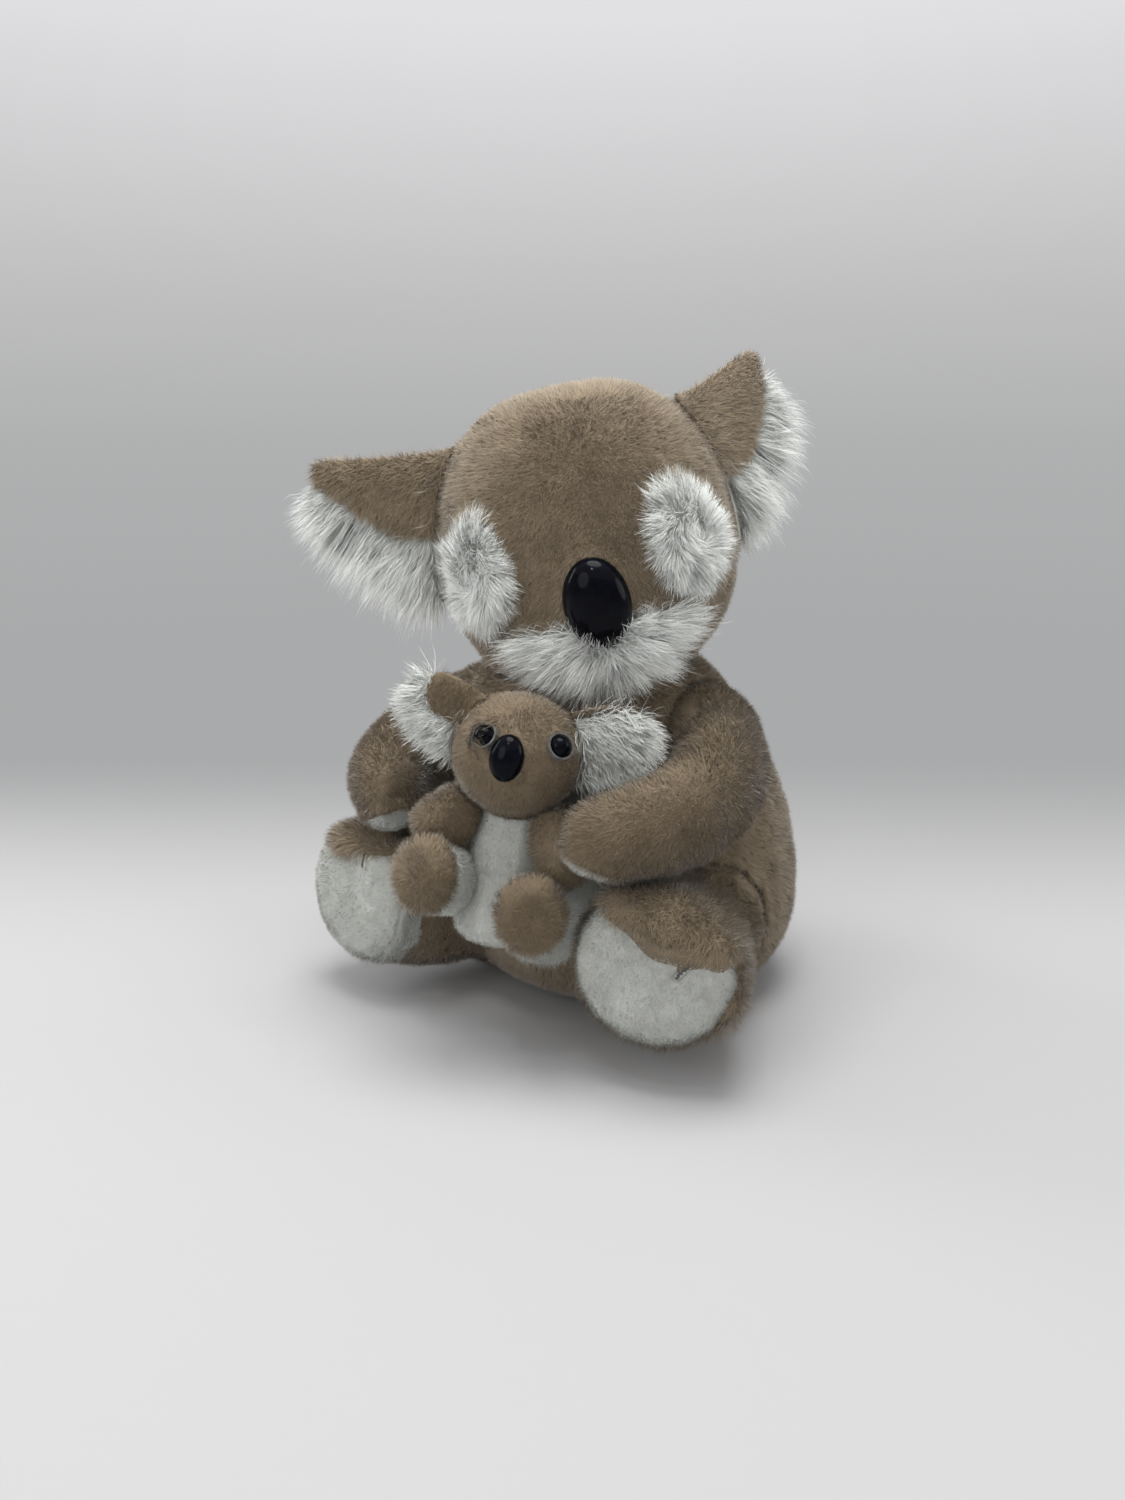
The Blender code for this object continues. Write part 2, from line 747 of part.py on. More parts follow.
def make_muzzle(head, turn, room):
    """The crescent of long fur under the nose, laid along the head."""
    points = []
    normals = []
    for side, _ in MUZZLE_SECTION_SHARES:
        drop = MUZZLE_DROP + (MUZZLE_ENDS_DROP - MUZZLE_DROP) * side * side
        start = HEAD_CENTRE + turn @ Vector((MUZZLE_SPREAD * side, 0.0, -drop))
        hit, normal = surface_hit(head, start, turn @ Vector((0.0, -1.0, 0.0)))
        points.append(hit)
        normals.append(normal)
    sections = []
    for index, (_, thickness) in enumerate(MUZZLE_SECTION_SHARES):
        before = points[max(index - 1, 0)]
        after = points[min(index + 1, len(points) - 1)]
        along = (after - before).normalized()
        out = normals[index] * MUZZLE_THICKNESS * thickness / 2
        down = along.cross(normals[index]).normalized() * MUZZLE_HEIGHT * thickness / 2
        sections.append((points[index] + out * MUZZLE_STAND_SHARE, out, down))
    muzzle = soft_form("muzzle_fluff", sections, WHITE, points=EAR_CAGE_POINTS)
    cut(muzzle, grown(head, GAP, "muzzle_back"))
    clear_the_turn(muzzle, room, HEAD_CENTRE, "Z", (-NECK_TWIST, 0.0, NECK_TWIST))
    return muzzle


def make_face(head, room):
    turn = HEAD_FRAME.to_3x3()
    upward = turn @ Vector((0.0, 0.0, 1.0))
    muzzle = make_muzzle(head, turn, room)
    nose_start = HEAD_CENTRE - upward * NOSE_DROP
    hit, normal = surface_hit(head, nose_start, turn @ Vector((0.0, -1.0, 0.0)))
    frames = {"nose": facing(hit, normal, upward)}
    pieces = [muzzle]
    for side, name in SIDES:
        angle = EYE_TURN_LEFT if side > 0 else EYE_TURN_RIGHT
        look = turn @ Vector((side * math.sin(angle), -math.cos(angle), 0.0))
        hit, _ = surface_hit(head, HEAD_CENTRE - upward * EYE_DROP, look)
        frames[name] = facing(hit, look, upward)
        pieces.append(make_eye_patch(side, name, head, frames[name]))
    size = (NOSE_WIDTH, NOSE_DEPTH, NOSE_HEIGHT)
    shank = (SHANK_RADIUS, SHANK_LENGTH)
    washer = (WASHER_RADIUS, WASHER_THICKNESS)
    nose, ring = button_set("nose", head, frames["nose"], size, shank, washer, NOSE_STEPS)
    cut(muzzle, grown(nose, GAP, "muzzle_nose_bed"))
    pieces += [nose, ring]
    size = (2 * EYE_RADIUS, 2 * EYE_RADIUS, 2 * EYE_RADIUS)
    shank = (EYE_SHANK_RADIUS, EYE_SHANK_LENGTH)
    washer = (EYE_WASHER_RADIUS, EYE_WASHER_THICKNESS)
    for _, name in SIDES:
        pieces += button_set(f"eye_{name}", head, frames[name], size, shank, washer)
    return pieces


# Ears
def flap_sections(shares, reach, height, thickness):
    """Sections of a flat stuffed flap that reaches along X and stands along Z."""
    sections = []
    for along, centre, tall, thick in shares:
        place = Vector((reach * along, 0.0, height * centre))
        across = Vector((0.0, thickness * thick / 2, 0.0))
        upright = Vector((0.0, 0.0, height * tall / 2))
        sections.append((place, across, upright))
    return sections


def make_ear(names, frame, shares, sizes, lining_shares, lining_sizes, fold_share):
    """A brown ear folded over its white lining at the top, in a root frame."""
    name, lining_name = names
    reach, height, thickness = sizes
    lining_reach, lining_thickness = lining_sizes
    ear = soft_form(name, flap_sections(shares, *sizes), BROWN, frame, EAR_CAGE_POINTS)
    inner = flap_sections(lining_shares, lining_reach, height, lining_thickness)
    lining = soft_form(lining_name, inner, WHITE, frame, EAR_CAGE_POINTS)
    mouth = block(
        f"{name}_mouth",
        (-reach, -thickness, -height),
        (lining_reach + reach, 0.0, height * fold_share),
        frame,
    )
    cut(ear, grown(lining, GAP, f"{name}_lining_bed"), mouth)
    return ear, lining


def make_ears(head):
    pieces = []
    for side, name in SIDES:
        lean = EAR_LEAN_LEFT if side > 0 else EAR_LEAN_RIGHT
        sweep = EAR_SWEEP_LEFT if side > 0 else EAR_SWEEP_RIGHT
        local = (
            Matrix.Translation((EAR_ROOT_SIDE, 0.0, EAR_ROOT_RISE))
            @ Matrix.Rotation(lean, 4, "Y")
            @ Matrix.Rotation(sweep, 4, "Z")
        )
        frame = HEAD_FRAME @ mirrored(side) @ local
        ear, lining = make_ear(
            (f"ear_{name}", f"ear_lining_{name}"),
            frame,
            EAR_SECTION_SHARES,
            (EAR_REACH, EAR_HEIGHT, EAR_THICKNESS),
            LINING_SECTION_SHARES,
            (LINING_REACH, LINING_THICKNESS),
            FOLD_EDGE_SHARE,
        )
        point = frame.translation
        axis = (frame.to_3x3() @ Vector((0.0, 0.0, 1.0))).normalized()
        room = grown(head, GAP, f"ear_{name}_room")
        for piece in (ear, lining):
            clear_the_turn(piece, room, point, axis, (-EAR_FLEX, EAR_FLEX))
        pivot(f"ear_{name}_pivot", point, (ear, lining))
        pieces.append(bpy.data.objects[f"ear_{name}_pivot"])
    return pieces


# Baby
BABY_FRAME = (
    Matrix.Translation((BABY_X, BABY_Y, BABY_Z))
    @ Matrix.Rotation(BABY_TURN, 4, "Z")
    @ Matrix.Rotation(BABY_TILT, 4, "Y")
)
BABY_HEAD_FRAME = (
    BABY_FRAME
    @ Matrix.Translation((BABY_HEAD_SIDE, -BABY_HEAD_FORWARD, BABY_HEAD_RISE))
    @ Matrix.Rotation(BABY_HEAD_TURN, 4, "Z")
)


def make_baby_body():
    sections = []
    for height, width, depth, forward in BABY_BODY_SECTION_SHARES:
        centre = Vector((0.0, -BABY_BODY_DEPTH * forward, BABY_BODY_HEIGHT * height))
        across = Vector((BABY_BODY_WIDTH * width / 2, 0.0, 0.0))
        along = Vector((0.0, BABY_BODY_DEPTH * depth / 2, 0.0))
        sections.append((centre, across, along))
    return soft_form("baby_body", sections, BROWN, BABY_FRAME)


def make_baby_limb(name, start, step, thickness, colour):
    """A limb from a place in the body, one step long."""
    start = BABY_FRAME @ start
    step = BABY_FRAME.to_3x3() @ step
    points = [start + step * share for share, _ in BABY_LIMB_SECTION_SHARES]
    sizes = [(thickness * share, thickness * share) for _, share in BABY_LIMB_SECTION_SHARES]
    return soft_form(name, limb_sections(points, sizes), colour)


def make_baby_leg(side, name):
    """A white leg with a brown cap on its end."""
    out = BABY_LEG_OUT_LEFT if side > 0 else BABY_LEG_OUT_RIGHT
    rise = BABY_LEG_RISE_LEFT if side > 0 else BABY_LEG_RISE_RIGHT
    hip = Vector((side * BABY_HIP_SIDE, 0.0, -BABY_HIP_DROP))
    step = Vector((side * out, -BABY_LEG_FORWARD, rise))
    leg = make_baby_limb(f"baby_leg_{name}", hip, step, BABY_LEG_THICKNESS, WHITE)
    upward = Vector((0.0, 0.0, 1.0))
    outline = block(
        f"baby_sole_{name}_outline",
        (-BABY_LEG_THICKNESS, -BABY_LEG_THICKNESS, -BABY_LEG_THICKNESS),
        (BABY_LEG_THICKNESS, BABY_SOLE_LENGTH, BABY_LEG_THICKNESS),
        BABY_FRAME @ facing(hip + step, step, upward),
    )
    return leg, inlay(leg, outline, BABY_PANEL_DEPTH, f"baby_sole_{name}", BROWN)


def make_baby_limbs(rooms):
    """The arms and the legs, cut back from the rooms of the body and the head."""
    limbs = []
    for side, name in SIDES:
        shoulder = Vector((side * BABY_SHOULDER_SIDE, 0.0, BABY_SHOULDER_RISE))
        step = Vector((side * BABY_ARM_OUT, -BABY_ARM_FORWARD, -BABY_ARM_DROP))
        arm = make_baby_limb(f"baby_arm_{name}", shoulder, step, BABY_ARM_THICKNESS, BROWN)
        cut(arm, *rooms)
        limbs.append(arm)
        for piece in make_baby_leg(side, name):
            cut(piece, *rooms, grown(arm, GAP, f"{piece.name}_arm_room"))
            limbs.append(piece)
    return limbs


def make_baby_face(head):
    turn = BABY_HEAD_FRAME.to_3x3()
    upward = turn @ Vector((0.0, 0.0, 1.0))
    centre = BABY_HEAD_FRAME.translation
    shank = (BABY_SHANK_RADIUS, BABY_SHANK_LENGTH)
    washer = (BABY_WASHER_RADIUS, BABY_WASHER_THICKNESS)
    look = turn @ Vector((math.sin(BABY_NOSE_TURN), -math.cos(BABY_NOSE_TURN), 0.0))
    hit, normal = surface_hit(head, centre + upward * BABY_NOSE_RISE, look)
    size = (BABY_NOSE_WIDTH, BABY_NOSE_DEPTH, BABY_NOSE_HEIGHT)
    nose_frame = facing(hit, normal, upward)
    pieces = list(button_set("baby_nose", head, nose_frame, size, shank, washer, SOCKET_STEPS))
    nose_room = grown(pieces[0], GAP, "baby_nose_room")
    size = (2 * BABY_EYE_RADIUS, 2 * BABY_EYE_RADIUS, 2 * BABY_EYE_RADIUS)
    for side, name in SIDES:
        angle = BABY_EYE_TURN_LEFT if side > 0 else BABY_EYE_TURN_RIGHT
        look = turn @ Vector((side * math.sin(angle), -math.cos(angle), 0.0))
        hit, normal = surface_hit(head, centre + upward * BABY_EYE_RISE, look)
        frame = facing(hit, normal, upward)
        rim = rod(
            f"baby_eye_rim_{name}",
            BABY_RIM_RADIUS,
            -BABY_RIM_THICKNESS,
            2 * BABY_RIM_THICKNESS,
            frame,
            WHITE,
            ROUND_STEPS,
        )
        hole = rod(
            f"baby_eye_rim_{name}_hole",
            BABY_EYE_RADIUS + GAP,
            -BABY_RIM_THICKNESS - OVERRUN,
            2 * (BABY_RIM_THICKNESS + OVERRUN),
            frame,
            steps=ROUND_STEPS,
        )
        cut(rim, grown(head, GAP, f"baby_eye_rim_{name}_back"), hole, nose_room)
        pieces.append(rim)
        pieces += button_set(f"baby_eye_{name}", head, frame, size, shank, washer)
    return pieces


def make_baby_ears(head):
    pieces = []
    for side, name in SIDES:
        root = BABY_EAR_ROOT_SIDE_LEFT if side > 0 else BABY_EAR_ROOT_SIDE_RIGHT
        lean = BABY_EAR_LEAN_LEFT if side > 0 else BABY_EAR_LEAN_RIGHT
        fold_share = BABY_FOLD_LEFT_SHARE if side > 0 else BABY_FOLD_RIGHT_SHARE
        frame = (
            BABY_HEAD_FRAME
            @ mirrored(side)
            @ Matrix.Translation((root, 0.0, BABY_EAR_ROOT_RISE))
            @ Matrix.Rotation(lean, 4, "Y")
        )
        ear, lining = make_ear(
            (f"baby_ear_{name}", f"baby_ear_lining_{name}"),
            frame,
            BABY_EAR_SECTION_SHARES,
            (BABY_EAR_REACH, BABY_EAR_HEIGHT, BABY_EAR_THICKNESS),
            BABY_LINING_SECTION_SHARES,
            (BABY_LINING_REACH, BABY_LINING_THICKNESS),
            fold_share,
        )
        room = grown(head, GAP, f"baby_ear_{name}_room")
        cut(ear, room)
        cut(lining, room)
        pieces += [ear, lining]
    return pieces


def make_baby(mother):
    """The baby, cut back from the pieces of its mother that it lies against."""
    body = make_baby_body()
    size = (BABY_HEAD_WIDTH, BABY_HEAD_DEPTH, BABY_HEAD_HEIGHT)
    head = ball("baby_head", size, BABY_HEAD_FRAME, BROWN)
    head_room = grown(head, GAP, "baby_head_room")
    limbs = make_baby_limbs([grown(body, GAP, "baby_body_room"), head_room])
    outline = block(
        "baby_belly_outline",
        (-BABY_BODY_WIDTH, -2 * BABY_BODY_DEPTH, -BABY_BODY_HEIGHT),
        (BABY_BODY_WIDTH, -BABY_SIDE_SEAM_FORWARD, BABY_BODY_HEIGHT),
        BABY_FRAME,
    )
    panel = inlay(body, outline, BABY_PANEL_DEPTH, "baby_belly_panel", WHITE)
    for piece in (body, panel):
        cut(piece, head_room)
    rooms = [grown(piece, GAP, f"{piece.name}_baby_room") for piece in mother]
    for piece in (body, panel, head, *limbs):
        cut(piece, *rooms)
    ears = make_baby_ears(head)
    arms = [room for room in rooms if room.name.startswith("arm")]
    for piece in ears:
        cut(piece, *arms)
    return [body, panel, *limbs, head, *ears, *make_baby_face(head)]


def make_koala():
    head = make_head()
    body, panel, room, dish = make_body()
    limbs = []
    for side, name in SIDES:
        limbs += make_arm(side, name, body, room, dish)
        limbs += make_leg(side, name, body, panel, room)
    head_pieces = [head, *make_ears(head), *make_face(head, room)]
    baby_pieces = make_baby([body, panel, *limbs])
    pivot("neck_pivot", HEAD_CENTRE, head_pieces)
    pivot("baby_root", BABY_FRAME.translation, baby_pieces)


make_koala()
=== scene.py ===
"""The looks of the plush koala: skins, pile, long fur, plastic nose and eyes.

Sizes are in metres, and densities are strands a square metre.
"""

import json
import math
from collections import namedtuple

import bmesh
import bpy
import numpy as np
from mathutils import Matrix, Vector
from mathutils.bvhtree import BVHTree


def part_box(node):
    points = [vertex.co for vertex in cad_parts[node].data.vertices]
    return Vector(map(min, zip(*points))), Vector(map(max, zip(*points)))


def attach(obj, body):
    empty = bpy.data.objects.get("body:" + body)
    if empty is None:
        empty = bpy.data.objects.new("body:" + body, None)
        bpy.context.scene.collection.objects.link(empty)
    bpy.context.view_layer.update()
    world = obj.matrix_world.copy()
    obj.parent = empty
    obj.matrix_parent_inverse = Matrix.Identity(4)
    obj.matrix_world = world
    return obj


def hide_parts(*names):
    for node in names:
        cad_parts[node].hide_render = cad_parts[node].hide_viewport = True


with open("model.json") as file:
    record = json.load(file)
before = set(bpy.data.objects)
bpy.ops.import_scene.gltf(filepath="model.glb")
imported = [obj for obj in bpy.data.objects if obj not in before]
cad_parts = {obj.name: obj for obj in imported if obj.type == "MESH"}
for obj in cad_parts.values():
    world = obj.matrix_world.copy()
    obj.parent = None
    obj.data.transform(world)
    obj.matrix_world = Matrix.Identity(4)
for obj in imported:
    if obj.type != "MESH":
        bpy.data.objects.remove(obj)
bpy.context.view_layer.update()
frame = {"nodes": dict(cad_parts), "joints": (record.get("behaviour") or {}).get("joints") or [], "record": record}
BODIES = frame["record"]["behaviour"]["bodies"]
BODY_OF = {node: body for body, nodes in BODIES.items() for node in nodes}
JOINT_PLACES = {joint["name"]: np.array(joint["pos_m"]) for joint in frame["joints"]}
SIDES = ((1, "left"), (-1, "right"))
UP = np.array((0.0, 0.0, 1.0))

# The way the head faces, from its turn and its tilt
HEAD_TURN = math.radians(34)
HEAD_TILT = math.radians(-11.5)
HEAD_AXES = Matrix.Rotation(HEAD_TURN, 3, "Z") @ Matrix.Rotation(HEAD_TILT, 3, "Y")
FACE_WAY = np.array(HEAD_AXES @ Vector((0.0, -1.0, 0.0)))
HEAD_UP = np.array(HEAD_AXES @ Vector((0.0, 0.0, 1.0)))
HEAD_LEFT = np.array(HEAD_AXES @ Vector((1.0, 0.0, 0.0)))


# Materials
def add_node(tree, kind, inputs, **settings):
    """A new shader node. Each input takes a socket to link or a value to set."""
    node = tree.nodes.new(kind)
    for key, value in settings.items():
        setattr(node, key, value)
    for key, value in inputs.items():
        if isinstance(value, bpy.types.NodeSocket):
            tree.links.new(value, node.inputs[key])
        else:
            node.inputs[key].default_value = value
    return node


def new_material(name, roughness, specular=0.5, sheen=0.0):
    finish = bpy.data.materials.new(name)
    finish.use_nodes = True
    shader = finish.node_tree.nodes["Principled BSDF"]
    shader.inputs["Roughness"].default_value = roughness
    shader.inputs["Specular IOR Level"].default_value = specular
    shader.inputs["Sheen Weight"].default_value = sheen
    shader.inputs["Sheen Roughness"].default_value = 0.4
    return finish, finish.node_tree, shader


def ramp(tree, value, stops):
    node = add_node(tree, "ShaderNodeValToRGB", {"Fac": value})
    points = node.color_ramp.elements
    while len(points) < len(stops):
        points.new(0.5)
    for point, (place, colour) in zip(points, stops):
        point.position = place
        point.color = (*colour, 1.0)
    return node.outputs["Color"]


def object_noise(tree, scale, **detail):
    """Noise fixed to the piece, for its colour or its bump."""
    place = tree.nodes.new("ShaderNodeTexCoord").outputs["Object"]
    return add_node(tree, "ShaderNodeTexNoise", {"Vector": place, "Scale": scale, **detail}).outputs["Fac"]


def strand_material(name, root, middle, tip, dark, pale, sheen):
    """Colour along a strand from the layout's V, darker towards the root, partly the fibres' own paler tips and
    partly painted shade deep in the pile; and from strand to strand by its U.
    """
    finish, tree, shader = new_material(name, roughness=0.9, specular=0.15, sheen=sheen)
    layout = add_node(tree, "ShaderNodeUVMap", {}, uv_map="OFBake")
    parts = add_node(tree, "ShaderNodeSeparateXYZ", {"Vector": layout.outputs["UV"]})
    along = ramp(tree, parts.outputs["Y"], ((0.0, root), (0.5, middle), (1.0, tip)))
    tone = ramp(tree, parts.outputs["X"], ((0.0, dark), (0.5, (1.0, 1.0, 1.0)), (1.0, pale)))
    mix = add_node(tree, "ShaderNodeMix", {}, data_type="RGBA", blend_type="MULTIPLY")
    mix.inputs["Factor"].default_value = 1.0
    tree.links.new(along, mix.inputs["A"])
    tree.links.new(tone, mix.inputs["B"])
    tree.links.new(mix.outputs["Result"], shader.inputs["Base Color"])
    return finish


def skin_material(name, dark, light, scale):
    """The woven backing under a pile: mottled cloth with a fine knit in its bump."""
    finish, tree, shader = new_material(name, roughness=0.95, specular=0.1, sheen=0.1)
    mottle = object_noise(tree, scale, Detail=4.0)
    tree.links.new(ramp(tree, mottle, ((0.3, dark), (0.7, light))), shader.inputs["Base Color"])
    knit = object_noise(tree, scale=1400.0)
    bump = add_node(tree, "ShaderNodeBump", {"Height": knit, "Strength": 0.5, "Distance": 0.0006})
    tree.links.new(bump.outputs["Normal"], shader.inputs["Normal"])
    return finish


def plastic_material(name, dark, light, roughness, gloss):
    """Moulded plastic with faint wear in its gloss."""
    worn = roughness + 0.06
    finish, tree, shader = new_material(name, roughness, gloss)
    wear = object_noise(tree, scale=180.0, Detail=5.0)
    tree.links.new(ramp(tree, wear, ((0.35, dark), (0.75, light))), shader.inputs["Base Color"])
    spread = add_node(tree, "ShaderNodeMapRange", {"Value": wear, "To Min": roughness, "To Max": worn})
    tree.links.new(spread.outputs["Result"], shader.inputs["Roughness"])
    return finish


BROWN_SKIN = skin_material("brown backing", (0.190, 0.148, 0.100), (0.250, 0.198, 0.136), scale=60.0)
WHITE_SKIN = skin_material("white backing", (0.58, 0.59, 0.56), (0.68, 0.69, 0.66), scale=60.0)
FELT = skin_material("dull felt", (0.09, 0.09, 0.085), (0.17, 0.17, 0.16), scale=300.0)
# The strands darken from tip to root: partly the fibres' own paler tips, partly painted shade deep in the pile
BROWN_PILE = strand_material(
    "brown pile",
    root=(0.262, 0.204, 0.136),
    middle=(0.362, 0.288, 0.199),
    tip=(0.440, 0.358, 0.258),
    dark=(0.70, 0.67, 0.62),
    pale=(1.26, 1.26, 1.24),
    sheen=0.5,
)
WHITE_PILE = strand_material(
    "white pile",
    root=(0.50, 0.51, 0.47),
    middle=(0.68, 0.70, 0.65),
    tip=(0.80, 0.82, 0.77),
    dark=(0.78, 0.78, 0.76),
    pale=(1.10, 1.10, 1.10),
    sheen=0.3,
)
WHITE_FUR = strand_material(
    "long white fur",
    root=(0.54, 0.56, 0.52),
    middle=(0.86, 0.88, 0.85),
    tip=(0.95, 0.97, 0.94),
    dark=(0.55, 0.56, 0.53),
    pale=(1.04, 1.04, 1.04),
    sheen=0.6,
)
BLACK_PLASTIC = plastic_material(
    "black plastic", (0.002, 0.002, 0.004), (0.003, 0.004, 0.007), roughness=0.10, gloss=0.08
)
CLEAR_PLASTIC = plastic_material(
    "washer plastic", (0.62, 0.62, 0.60), (0.75, 0.75, 0.72), roughness=0.35, gloss=0.5
)

# Solids: how near a neighbour's box counts, and how far a gap is measured
NEAR_BOX = 0.014
GAP_ROOM = 0.02
# The ways tried out of a place: how far each leans outward at least, and where it starts
LEAST_OUTWARD = 0.2
START_LIFT = 0.0008


def node_mesh(node):
    """A node's mesh as arrays of places and triangles."""
    mesh = frame["nodes"][node].data
    return read_floats(mesh.vertices, "co"), triangles(mesh)


def read_floats(rows, name):
    values = np.empty(len(rows) * 3)
    rows.foreach_get(name, values)
    return values.reshape(-1, 3)


def triangles(mesh):
    mesh.calc_loop_triangles()
    corners = np.empty(len(mesh.loop_triangles) * 3, dtype=np.int64)
    mesh.loop_triangles.foreach_get("vertices", corners)
    return corners.reshape(-1, 3)


SOLIDS = {node: node_mesh(node) for node in frame["nodes"] if "washer" not in node}
BOXES = {node: (places.min(0), places.max(0)) for node, (places, _) in SOLIDS.items()}


def beside(node):
    """The nodes whose boxes come near the box of this one."""
    low, high = BOXES[node]
    return [
        other
        for other, (other_low, other_high) in BOXES.items()
        if other != node and np.all(other_low < high + NEAR_BOX) and np.all(other_high > low - NEAR_BOX)
    ]


def joined_tree(nodes):
    """One search tree over the solids of several nodes."""
    places = []
    corners = []
    count = 0
    for node in nodes:
        node_places, node_corners = SOLIDS[node]
        places.extend(node_places.tolist())
        corners.extend((node_corners + count).tolist())
        count += len(node_places)
    return BVHTree.FromPolygons(places, corners) if places else None


def gaps_to(tree, places):
    """How far each place is from the nearest solid in a tree, at most GAP_ROOM."""
    gaps = np.full(len(places), GAP_ROOM)
    if tree is not None:
        for index, place in enumerate(places):
            hit, _, _, gap = tree.find_nearest(place.tolist(), GAP_ROOM)
            if hit is not None:
                gaps[index] = gap
    return gaps


def ball_ways(count):
    """Directions spread evenly over a ball."""
    steps = np.arange(count) + 0.5
    rise = 1 - 2 * steps / count
    turn = steps * math.pi * (3 - math.sqrt(5))
    level = np.sqrt(1 - rise * rise)
    return np.stack((level * np.cos(turn), level * np.sin(turn), rise), axis=1)


WAYS = ball_ways(count=32)


def openness(tree, places, normals, room):
    """The share of the ways out of each place that meet no solid within room."""
    share = np.ones(len(places))
    if tree is None:
        return share
    facing = WAYS @ normals.T > LEAST_OUTWARD
    ways = [Vector(way) for way in WAYS]
    starts = places + normals * START_LIFT
    for index in range(len(places)):
        start = Vector(starts[index])
        tries = [ways[k] for k in np.flatnonzero(facing[:, index])]
        free = sum(tree.ray_cast(start, way, room)[0] is None for way in tries)
        share[index] = free / len(tries)
    return share


# Skins: slot, voxel of the remesh, rounds of smoothing, and depth under the pile
SKINS = {
    "body": ("brown_plush", 0.0035, 10, 0.0032),
    "belly_panel": ("short_white_plush", 0.002, 3, 0.0012),
    "head": ("brown_plush", 0.003, 8, 0.0028),
    "arm": ("brown_plush", 0.003, 8, 0.0032),
    "palm_pad": ("short_white_plush", 0.0013, 12, 0.0008),
    "leg": ("brown_plush", 0.003, 8, 0.0032),
    "sole_pad": ("short_white_plush", 0.0013, 12, 0.0008),
    "ear": ("brown_plush", 0.002, 5, 0.0022),
    "ear_lining": ("long_white_fur", 0.002, 5, 0.0025),
    "eye_patch": ("long_white_fur", 0.0015, 5, 0.006),
    "muzzle_fluff": ("long_white_fur", 0.0015, 5, 0.006),
    "baby_body": ("brown_plush", 0.0015, 4, 0.0018),
    "baby_belly_panel": ("short_white_plush", 0.001, 12, 0.0006),
    "baby_head": ("brown_plush", 0.0015, 8, 0.0016),
    "baby_arm": ("brown_plush", 0.0015, 10, 0.0022),
    "baby_leg": ("short_white_plush", 0.0015, 14, 0.0012),
    "baby_sole": ("brown_plush", 0.0012, 8, 0.0014),
    "baby_ear": ("brown_plush", 0.0012, 4, 0.0014),
    "baby_ear_lining": ("long_white_fur", 0.0012, 4, 0.0016),
}
# A skin's depth where a neighbour touches, and the gaps over which it settles to its own depth
TOUCH_DEPTH = 0.0002
TOUCH_GAP = 0.0005
SETTLE_SHARE = 2.4
# A place is bare when a smaller share of its ways leads out
BARE_SHARE = 0.06
# Sockets: the joint, the half sizes, and the nodes that meet there
SOCKETS = [("neck_turn", (0.0885, 0.0885, 0.0910), ("body", "head"))]
for _, name in SIDES:
    SOCKETS.append((f"{name}_arm_swing", (0.0330, 0.0330, 0.0330), ("body", f"arm_{name}")))
    SOCKETS.append((f"{name}_leg_swing", (0.0500, 0.0500, 0.0540), ("body", f"leg_{name}")))
# A backing cloth with, for each vertex, its room to the neighbours and whether it is bare
Skin = namedtuple("Skin", ("node", "item", "settle", "bare"))


def new_object(name, data):
    item = bpy.data.objects.new(name, data)
    bpy.context.scene.collection.objects.link(item)
    return item


def remeshed(name, node, voxel, rounds):
    """A smooth copy of a node's solid."""
    places, corners = SOLIDS[node]
    mesh = bpy.data.meshes.new(name)
    mesh.from_pydata(places.tolist(), [], corners.tolist())
    item = new_object(name, mesh)
    bm = bmesh.new()
    bm.from_mesh(mesh)
    bmesh.ops.remove_doubles(bm, verts=bm.verts, dist=1e-6)
    bm.to_mesh(mesh)
    bm.free()
    step = item.modifiers.new("voxels", "REMESH")
    step.mode = "VOXEL"
    step.voxel_size = voxel
    smooth = item.modifiers.new("smooth", "SMOOTH")
    smooth.factor = 0.5
    smooth.iterations = rounds
    graph = bpy.context.evaluated_depsgraph_get()
    mesh = bpy.data.meshes.new_from_object(item.evaluated_get(graph))
    item.modifiers.clear()
    item.data = mesh
    return item


def vertex_arrays(item):
    return read_floats(item.data.vertices, "co"), read_floats(item.data.vertex_normals, "vector")


def smooth_step(values, low, high):
    share = np.clip((values - low) / (high - low), 0, 1)
    return share * share * (3 - 2 * share)


def drawn_in(places, normals, settle, inset):
    """The places moved in under the pile, and less so where a neighbour touches."""
    return places - normals * (TOUCH_DEPTH + (inset - TOUCH_DEPTH) * settle)[:, None]


def paint(item, finish, chosen):
    """Give an item's chosen faces a second finish. chosen tells them by their middles."""
    item.data.materials.append(finish)
    middles = np.array([face.center for face in item.data.polygons])
    item.data.polygons.foreach_set("material_index", chosen(middles).astype(np.int32))


def make_skin(node, shape=drawn_in):
    """A piece of backing cloth that stands for a stuffed node, set in under its pile."""
    slot, voxel, rounds, inset = SKINS[node.removesuffix("_left").removesuffix("_right")]
    item = remeshed(f"{node}_skin", node, voxel, rounds)
    places, normals = vertex_arrays(item)
    near = beside(node)
    gaps = gaps_to(joined_tree(near), places)
    own = [other for other in near if BODY_OF[other] == BODY_OF[node]]
    bare = openness(joined_tree(own), places, normals, room=0.03) < BARE_SHARE
    for joint, sizes, nodes in SOCKETS:
        if node in nodes:
            inside = np.linalg.norm((places - JOINT_PLACES[joint]) / sizes, axis=1) < 1
            bare |= inside & (openness(joined_tree(near), places, normals, room=0.02) < BARE_SHARE)
    settle = smooth_step(gaps, TOUCH_GAP, SETTLE_SHARE * inset + TOUCH_GAP)
    moved = shape(places, normals, settle, inset)
    item.data.vertices.foreach_set("co", np.asarray(moved, dtype=float).ravel())
    item.data.update()
    item.data.shade_smooth()
    item.data.materials.clear()
    item.data.materials.append(BROWN_SKIN if slot == "brown_plush" else WHITE_SKIN)
    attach(item, BODY_OF[node])
    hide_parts(node)
    return Skin(node, item, settle, bare)


